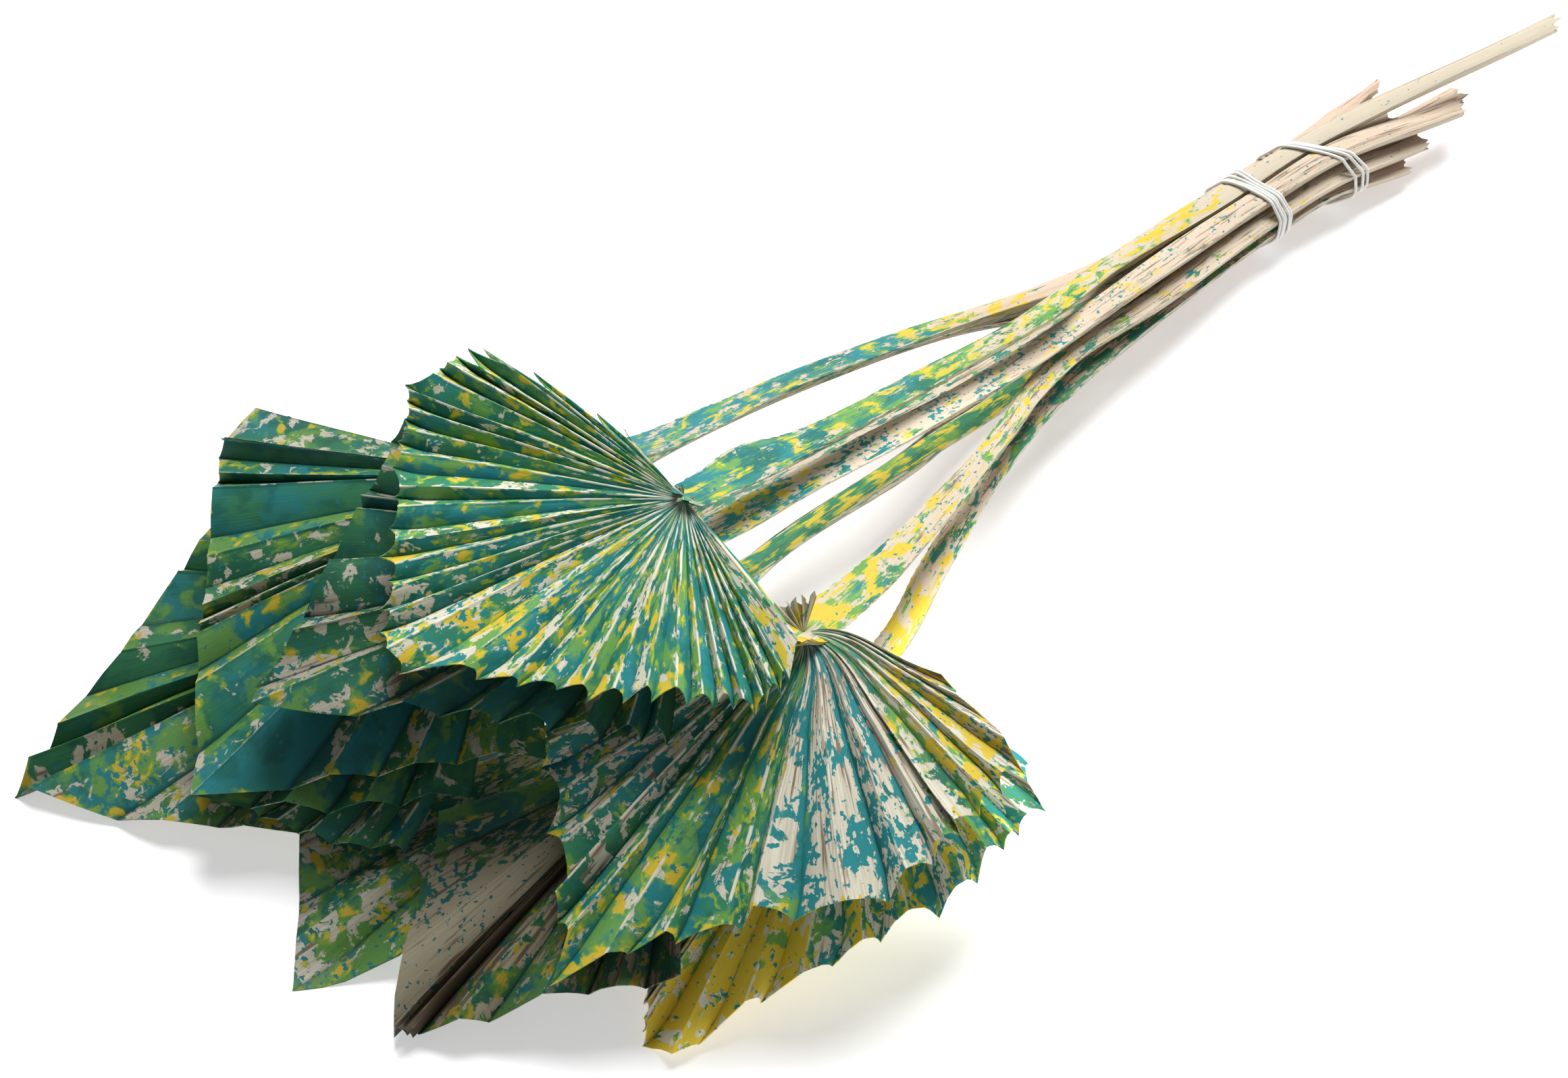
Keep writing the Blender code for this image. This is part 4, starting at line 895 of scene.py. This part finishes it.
def dyed_palm(name, colours, brushed):
    """Straw palm paper with patches of green, teal and yellow dye, bare ridges and fine fibres.

    The paint's coordinates are millimetres across and along the piece, an own place for each strip, and a painted
    shade: a factor that darkens or lightens the colour in place of light and shade.
    brushed says how far the fibres draw the dye's edges out into lengthwise streaks.
    """
    web = Finish(name)
    place = web.attribute("paint")
    cover_level, teal_share, light_level, yellow_level = web.parts("dye")
    speck_share, brown_level, ridge, under = web.parts("wear")

    streak = web.noise(web.stretched(place, (2.6, 0.07, 0.0)), 1.0, 3.0)
    thread = web.noise(web.stretched(place, (6.0, 0.12, 0.0)), 1.0, 2.0)
    drawn = web.math("MULTIPLY", web.math("SUBTRACT", streak, 0.5), brushed)
    longer = 0.62 - 0.4 * brushed

    def patches(scale, seed, detail=3.0, rough=0.55, distortion=0.4):
        """Noise for one dye: blotches drawn out along the leaf, with streaky edges."""
        vector = web.stretched(place, (1.0, longer, 1.0), (seed, 0.6 * seed, 0.3 * seed))
        return web.math("ADD", web.noise(vector, scale, detail, rough, distortion), drawn)

    colour = web.mix(web.step(streak, 0.35, 0.7), colours["straw"], colours["cream"])
    colour = web.mix(web.math("MULTIPLY", under, 0.8), colour, colours["tan"])
    brown = web.cover(web.noise(web.stretched(place, (0.9, 0.05, 0.0), (3, 0, 0)), 1.0, 3.0), brown_level, 0.10)
    colour = web.mix(web.math("MULTIPLY", brown, 0.85), colour, colours["brown"])

    tealness = web.math("ADD", patches(0.10, 31), web.math("MULTIPLY", web.math("SUBTRACT", teal_share, 0.6), 0.6))
    ink = web.mix(web.step(tealness, 0.34, 0.66), colours["green"], colours["teal"])
    ink = web.mix(web.math("MULTIPLY", web.step(patches(0.13, 57), 0.46, 0.62), 0.6), ink, colours["deep"])
    ink = web.mix(web.math("MULTIPLY", web.cover(patches(0.17, 83, 4.0), light_level, 0.09), 0.85), ink, colours["light"])
    paint = web.cover(patches(0.30, 5, 5.0, 0.62, 0.5), cover_level, 0.022)

    spot = patches(0.30, 113, 3.0, 0.5, 0.4)
    halo = web.cover(spot, web.math("SUBTRACT", yellow_level, 0.045), 0.06)
    ink = web.mix(halo, ink, colours["lime"])
    colour = web.mix(paint, colour, ink)
    yellow = web.cover(spot, yellow_level, 0.02)
    colour = web.mix(yellow, colour, colours["yellow"])

    thick = web.math("MULTIPLY", web.step(web.noise(place, 0.09, 2.0), 0.30, 0.70), speck_share)
    finest = web.noise(web.stretched(place, (1.0, 0.7, 1.0), (7, 0, 0)), 0.75, 2.0, 0.5)
    drops = web.cover(finest, web.spread(thick, 0.70, 0.41), 0.03)
    colour = web.mix(drops, colour, colours["teal"])

    dash = web.noise(web.stretched(place, (0.3, 0.16, 0.0)), 1.0, 3.0)
    bare = web.math("MULTIPLY", web.step(ridge, 0.25, 0.5), web.step(dash, 0.46, 0.54))
    colour = web.mix(bare, colour, colours["cream"])
    # Painted light and shade: the colour is multiplied by the fibres' grain and by the painted shade in the paint's
    # fourth number.
    shade = web.math("MULTIPLY", web.spread(thread, 0.80, 1.14), web.parts("paint")[3])
    grey = web.node("ShaderNodeCombineColor", {0: shade, 1: shade, 2: shade})
    web.put(web.shader.inputs["Base Color"], web.mix(1.0, colour, grey, "MULTIPLY"))
    web.put(web.shader.inputs["Roughness"], web.spread(paint, 0.68, 0.5))
    web.shader.inputs["Specular IOR Level"].default_value = 0.22
    height = web.math("ADD", web.math("MULTIPLY", thread, 0.6), web.math("MULTIPLY", streak, 0.6))
    height = web.math("ADD", height, web.math("MULTIPLY", paint, 0.15))
    bump = web.node("ShaderNodeBump", {"Strength": 0.35, "Distance": 0.0002, "Height": height})
    web.put(web.shader.inputs["Normal"], bump)
    return web.material


def knitted_elastic(colour):
    """White knitted elastic: rows of stitches across the cord, slightly soiled."""
    web = Finish("white_elastic")
    place = web.attribute("paint")
    weave = web.node("ShaderNodeTexWave", {"Vector": place, "Scale": 0.9, "Distortion": 0.6, "Detail": 1.0}, "Fac",
                     wave_type="BANDS", bands_direction="Y")
    dirt = web.noise(place, 0.25, 3.0)
    soiled = (colour[0] * 0.88, colour[1] * 0.86, colour[2] * 0.78, 1.0)
    tone = web.mix(web.step(dirt, 0.4, 0.75), (*colour, 1.0), soiled)
    tone = web.mix(web.math("MULTIPLY", weave, 0.12), tone, (0.55, 0.55, 0.52, 1.0))
    web.put(web.shader.inputs["Base Color"], tone)
    web.shader.inputs["Roughness"].default_value = 0.7
    bump = web.node("ShaderNodeBump", {"Strength": 0.5, "Distance": 0.0001, "Height": weave})
    web.put(web.shader.inputs["Normal"], bump)
    return web.material


def pale_floor(colour, glow):
    """Smooth pale ground with a faint mottle, lit a little from within."""
    web = Finish("pale_floor")
    mottle = web.noise(web.node("ShaderNodeTexCoord", {}, "Object"), 6.0, 2.0)
    dark = tuple(0.98 * part for part in colour)
    web.put(web.shader.inputs["Base Color"], web.mix(mottle, (*colour, 1.0), (*dark, 1.0)))
    web.shader.inputs["Roughness"].default_value = 0.85
    web.shader.inputs["Emission Color"].default_value = (*colour, 1.0)
    web.shader.inputs["Emission Strength"].default_value = glow
    return web.material


class PalmDyes(bpy.types.PropertyGroup):
    """The colours that a leaf can take."""

    teal: FloatVectorProperty(name="Teal", description="Blue-green dye", size=3, subtype="COLOR",
                              default=(0.022, 0.230, 0.245), min=0, max=1)
    green: FloatVectorProperty(name="Green", description="Main green dye", size=3, subtype="COLOR",
                               default=(0.042, 0.222, 0.100), min=0, max=1)
    deep: FloatVectorProperty(name="Deep green", description="Where the dyes lie thick", size=3, subtype="COLOR",
                              default=(0.010, 0.115, 0.085), min=0, max=1)
    light: FloatVectorProperty(name="Light green", description="Thin bright green", size=3, subtype="COLOR",
                               default=(0.165, 0.375, 0.070), min=0, max=1)
    lime: FloatVectorProperty(name="Lime", description="Where green meets yellow", size=3, subtype="COLOR",
                              default=(0.27, 0.43, 0.050), min=0, max=1)
    yellow: FloatVectorProperty(name="Yellow", description="Bright yellow dye", size=3, subtype="COLOR",
                                default=(0.66, 0.49, 0.045), min=0, max=1)
    cream: FloatVectorProperty(name="Cream", description="Bare palm, lightest", size=3, subtype="COLOR",
                               default=(0.72, 0.70, 0.58), min=0, max=1)
    straw: FloatVectorProperty(name="Straw", description="Bare palm, mean", size=3, subtype="COLOR",
                               default=(0.58, 0.53, 0.40), min=0, max=1)
    tan: FloatVectorProperty(name="Tan", description="Bare palm, undersides", size=3, subtype="COLOR",
                             default=(0.62, 0.53, 0.32), min=0, max=1)
    brown: FloatVectorProperty(name="Brown", description="Dry brown fibre", size=3, subtype="COLOR",
                               default=(0.17, 0.095, 0.05), min=0, max=1)
    pith: FloatVectorProperty(name="Pith", description="Bare top of a stem", size=3, subtype="COLOR",
                              default=(0.57, 0.53, 0.41), min=0, max=1)
    fibre: FloatVectorProperty(name="Fibre", description="Darker fibres of a bare stem", size=3, subtype="COLOR",
                               default=(0.60, 0.50, 0.38), min=0, max=1)
    husk: FloatVectorProperty(name="Husk", description="Sides and back of a stem", size=3, subtype="COLOR",
                              default=(0.70, 0.47, 0.36), min=0, max=1)


class PalmStudio(bpy.types.PropertyGroup):
    """The ties' colour, the floor and the lights."""

    elastic: FloatVectorProperty(name="Elastic", description="Colour of the ties", size=3, subtype="COLOR",
                                 default=(0.88, 0.88, 0.86), min=0, max=1)
    floor: FloatVectorProperty(name="Floor", description="Colour of the ground", size=3, subtype="COLOR",
                               default=(0.90, 0.90, 0.90), min=0, max=1)
    glow: FloatProperty(name="Floor glow", description="Light the ground gives off", default=0.50, min=0)
    key: FloatProperty(name="Key light", description="Power of the soft lamp", default=134.0, min=0, subtype="POWER")
    sky: FloatProperty(name="Sky", description="Strength of the even light from all round", default=0.19, min=0)


DYES = ("teal", "green", "deep", "light", "lime", "yellow", "cream", "straw", "tan", "brown")


def dress(obj, node):
    """Puts a finished piece in the frame in place of its node."""
    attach(obj, "root")
    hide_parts(node)


class PALM_OT_leaves(bpy.types.Operator):
    """Builds the ten pleated blades and their stems"""

    bl_idname = "palm.leaves"
    bl_label = "Palm leaves"

    def execute(self, context):
        dyes = context.scene.palm_dyes
        colours = {name: (*getattr(dyes, name), 1.0) for name in DYES}
        blade = dyed_palm("dyed_blade", colours, 0.05)
        bare = dict(cream=(*dyes.pith, 1.0), straw=(*dyes.fibre, 1.0), tan=(*dyes.husk, 1.0))
        stem = dyed_palm("dyed_stem", {**colours, **bare}, 0.42)
        for name, leaf in LEAVES.items():
            dress(build_blade(leaf, blade), name)
            dress(build_stem(leaf, stem), name)
            for frill in leaf["frills"]:
                dress(build_frill(leaf, frill, blade), name)
        return {"FINISHED"}


class PALM_OT_ties(bpy.types.Operator):
    """Winds the two white elastic ties round the stems"""

    bl_idname = "palm.ties"
    bl_label = "Elastic ties"

    def execute(self, context):
        material = knitted_elastic(tuple(context.scene.palm_studio.elastic))
        for name in BANDS:
            dress(build_band(name, material), name)
        return {"FINISHED"}


class PALM_OT_stage(bpy.types.Operator):
    """Sets the camera, the floor and the lights"""

    bl_idname = "palm.stage"
    bl_label = "Camera, floor and lights"

    def execute(self, context):
        scene, studio = context.scene, context.scene.palm_studio
        turn, tilt = np.radians((CAMERA_TURN, CAMERA_HEIGHT))
        back = Vector((np.sin(turn) * np.cos(tilt), -np.cos(turn) * np.cos(tilt), np.sin(tilt)))
        camera = bpy.data.objects.new("camera", bpy.data.cameras.new("camera"))
        camera.location = CAMERA_PLACE
        camera.rotation_mode = "QUATERNION"
        camera.rotation_quaternion = (-back).to_track_quat("-Z", "Y")
        camera.data.sensor_width = SENSOR
        camera.data.lens = FOCAL_PIXELS / PHOTO_WIDTH * SENSOR
        camera.data.clip_start, camera.data.clip_end = 0.01, 20
        scene.collection.objects.link(camera)
        scene.camera = camera

        mesh = bpy.data.meshes.new("floor")
        size = FLOOR_HALF
        mesh.from_pydata([(-size, -size, 0), (size, -size, 0), (size, size, 0), (-size, size, 0)], [], [(0, 1, 2, 3)])
        floor = bpy.data.objects.new("floor", mesh)
        floor.data.materials.append(pale_floor(tuple(studio.floor), studio.glow))
        scene.collection.objects.link(floor)

        lamp = bpy.data.objects.new("key", bpy.data.lights.new("key", "AREA"))
        lamp.data.shape = "DISK"
        lamp.data.size = LAMP_SIZE
        lamp.data.energy = studio.key
        lamp.location = LAMP_PLACE
        lamp.rotation_mode = "QUATERNION"
        lamp.rotation_quaternion = (-Vector(LAMP_PLACE)).to_track_quat("-Z", "Y")
        scene.collection.objects.link(lamp)
        world = bpy.data.worlds.new("sky")
        world.use_nodes = True
        ground = world.node_tree.nodes["Background"]
        ground.inputs["Color"].default_value = (0.95, 0.97, 1.0, 1.0)
        ground.inputs["Strength"].default_value = studio.sky
        scene.world = world
        scene.view_settings.view_transform = "Standard"
        return {"FINISHED"}


class PALM_PT_bunch(bpy.types.Panel):
    """The bunch's pieces and colours"""

    bl_label = "Palm bunch"
    bl_idname = "PALM_PT_bunch"
    bl_space_type = "VIEW_3D"
    bl_region_type = "UI"
    bl_category = "Palm bunch"

    def draw(self, context):
        for operator in (PALM_OT_leaves, PALM_OT_ties, PALM_OT_stage):
            self.layout.operator(operator.bl_idname)
        for group in (context.scene.palm_dyes, context.scene.palm_studio):
            for name in group.bl_rna.properties.keys():
                if name not in ("rna_type", "name"):
                    self.layout.prop(group, name)


CLASSES = (PalmDyes, PalmStudio, PALM_OT_leaves, PALM_OT_ties, PALM_OT_stage, PALM_PT_bunch)


def register():
    for made in CLASSES:
        bpy.utils.register_class(made)
    bpy.types.Scene.palm_dyes = PointerProperty(type=PalmDyes)
    bpy.types.Scene.palm_studio = PointerProperty(type=PalmStudio)


def unregister():
    del bpy.types.Scene.palm_studio
    del bpy.types.Scene.palm_dyes
    for made in reversed(CLASSES):
        bpy.utils.unregister_class(made)


def main():
    for name in ("Cube", "Light", "Camera"):
        if name in bpy.data.objects:
            bpy.data.objects.remove(bpy.data.objects[name])
    register()
    bpy.ops.palm.stage()
    bpy.ops.palm.leaves()
    bpy.ops.palm.ties()


if __name__ == "__main__":
    main()
